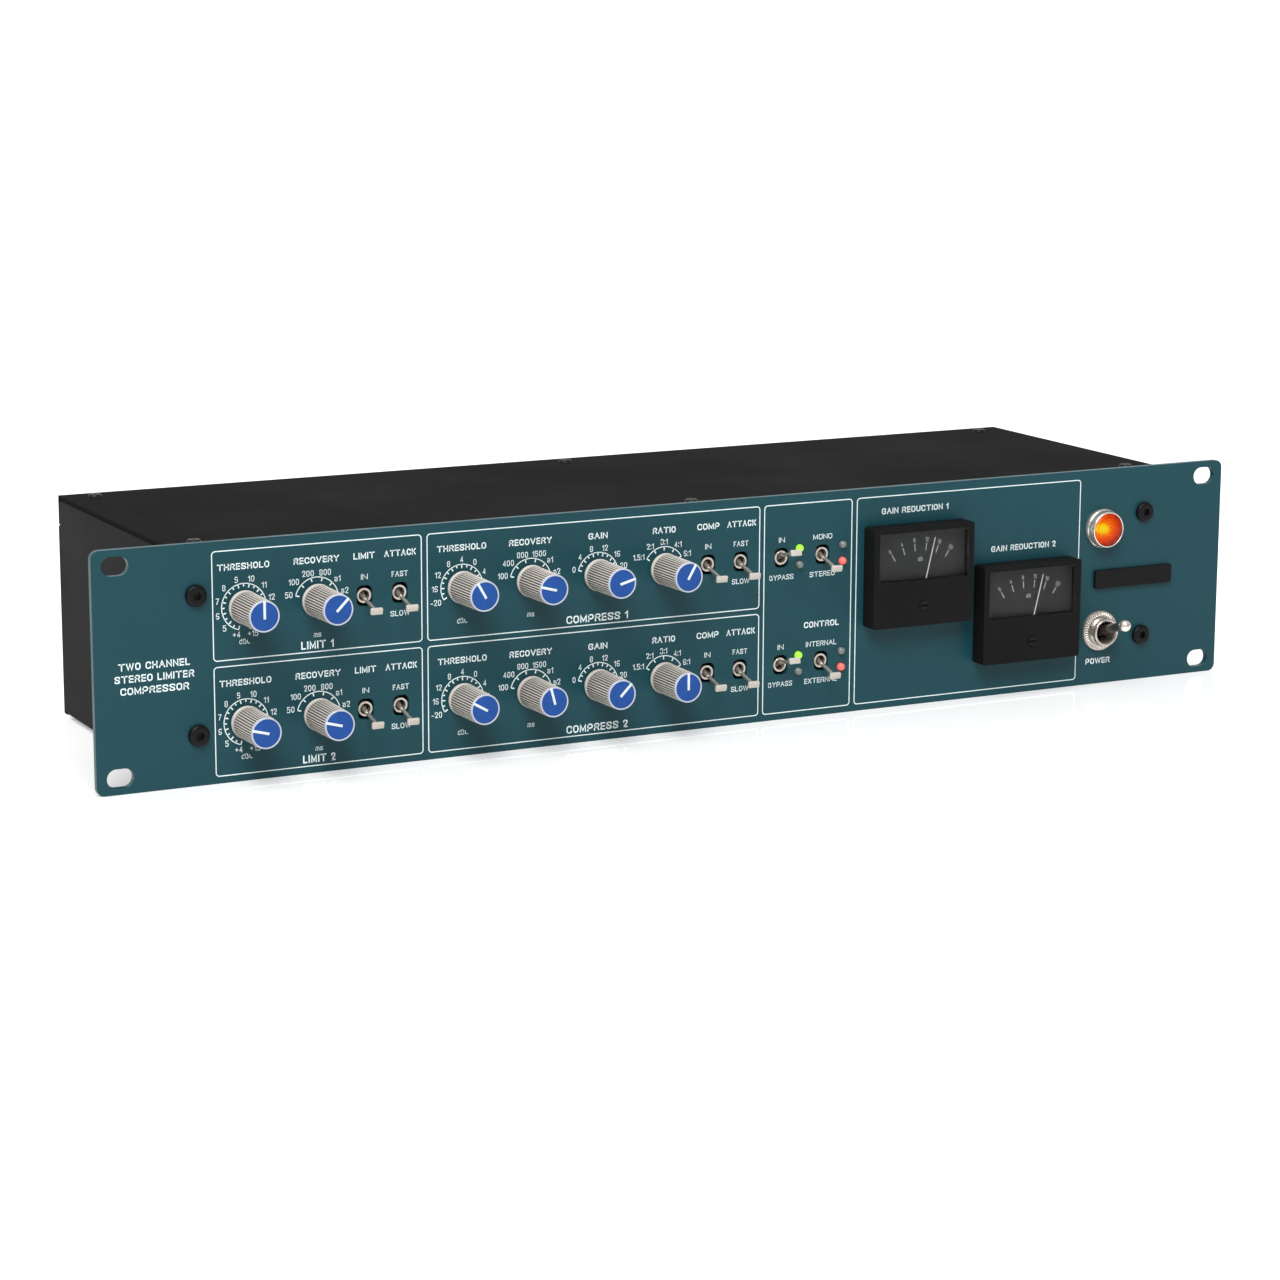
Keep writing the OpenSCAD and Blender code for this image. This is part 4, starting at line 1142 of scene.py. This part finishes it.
AZIMUTH = math.radians(-27.19)
ELEVATION = math.radians(11.752)
ROLL = math.radians(0.226)
LENS = 97.17
DISTANCE = 1.3067
AIM = Vector((PANEL_CENTRE.x - 0.0264, FACE_Y, PANEL_CENTRE.z - 0.0069))
SENSOR = 36.0
FLOOR_HALF = 2.4
FLOOR_TONE = (0.68, 0.68, 0.68, 1.0)
FLOOR_GLOW = 0.34
KEY_PLACE = (-0.9, -1.5, 1.7)
KEY_SIZE = 1.2
KEY_POWER = 42
OVERHEAD_WAY = (0.35, 0.45, -0.9)
OVERHEAD_STRENGTH = 2.0
OVERHEAD_SPREAD = math.radians(50)


def build_floor():
    """A wide pale floor with a soft sheen."""
    bm = bmesh.new()
    corners = [
        bm.verts.new((x * FLOOR_HALF, y * FLOOR_HALF, PANEL_LOW.z))
        for x, y in ((-1, -1), (1, -1), (1, 1), (-1, 1))
    ]
    bm.faces.new(corners)
    mesh = bpy.data.meshes.new("floor")
    bm.to_mesh(mesh)
    bm.free()
    shader = Shader("floor_white", 0.05, Specular_IOR_Level=0.9, Emission_Strength=FLOOR_GLOW)
    shader.surface.inputs["Base Color"].default_value = FLOOR_TONE
    shader.surface.inputs["Emission Color"].default_value = (1.0, 1.0, 1.0, 1.0)
    shader.roughness(shader.spread(shader.noise(3), 0.03, 0.06))
    mesh.materials.append(shader.material)
    floor = bpy.data.objects.new("floor", mesh)
    bpy.context.scene.collection.objects.link(floor)


def soft_light(name, place, target, size, power):
    """A square soft light that faces a target."""
    data = bpy.data.lights.new(name, "AREA")
    data.size = size
    data.energy = power
    light = bpy.data.objects.new(name, data)
    light.location = place
    light.rotation_euler = (Vector(target) - Vector(place)).to_track_quat("-Z", "Y").to_euler()
    bpy.context.scene.collection.objects.link(light)


def build_world():
    """A white room whose front side is dim, so that gloss and chrome have something dark to mirror."""
    world = bpy.data.worlds.new("studio")
    world.use_nodes = True
    tree = world.node_tree
    direction = tree.nodes.new("ShaderNodeTexCoord").outputs["Generated"]
    parts = tree.nodes.new("ShaderNodeSeparateXYZ")
    ramp = tree.nodes.new("ShaderNodeMapRange")
    ramp.interpolation_type = "SMOOTHSTEP"
    ramp.inputs["From Min"].default_value = -0.45
    ramp.inputs["From Max"].default_value = 0.3
    ramp.inputs["To Min"].default_value = 0.3
    ramp.inputs["To Max"].default_value = 1.05
    tree.links.new(direction, parts.inputs["Vector"])
    tree.links.new(parts.outputs["Y"], ramp.inputs["Value"])
    tree.links.new(ramp.outputs["Result"], tree.nodes["Background"].inputs["Strength"])
    tree.nodes["Background"].inputs["Color"].default_value = (1.0, 1.0, 1.0, 1.0)
    bpy.context.scene.world = world


def build_studio():
    build_world()
    soft_light("key", KEY_PLACE, (0, 0, 0), KEY_SIZE, KEY_POWER)
    fill = bpy.data.lights.new("overhead", "SUN")
    fill.energy = OVERHEAD_STRENGTH
    fill.angle = OVERHEAD_SPREAD
    light = bpy.data.objects.new("overhead", fill)
    light.rotation_euler = Vector(OVERHEAD_WAY).to_track_quat("-Z", "Y").to_euler()
    bpy.context.scene.collection.objects.link(light)
    bpy.context.scene.view_settings.view_transform = "Standard"


def build_camera():
    back = Vector((
        math.sin(AZIMUTH) * math.cos(ELEVATION), -math.cos(AZIMUTH) * math.cos(ELEVATION), math.sin(ELEVATION)
    ))
    data = bpy.data.cameras.new("camera")
    data.lens = LENS
    data.sensor_width = SENSOR
    data.clip_end = 50.0
    camera = bpy.data.objects.new("camera", data)
    look = (-back).to_track_quat("-Z", "Y").to_matrix().to_4x4()
    camera.matrix_world = Matrix.Translation(AIM + back * DISTANCE) @ look @ Matrix.Rotation(ROLL, 4, "Z")
    bpy.context.scene.collection.objects.link(camera)
    bpy.context.scene.camera = camera


build_floor()
build_studio()
build_camera()
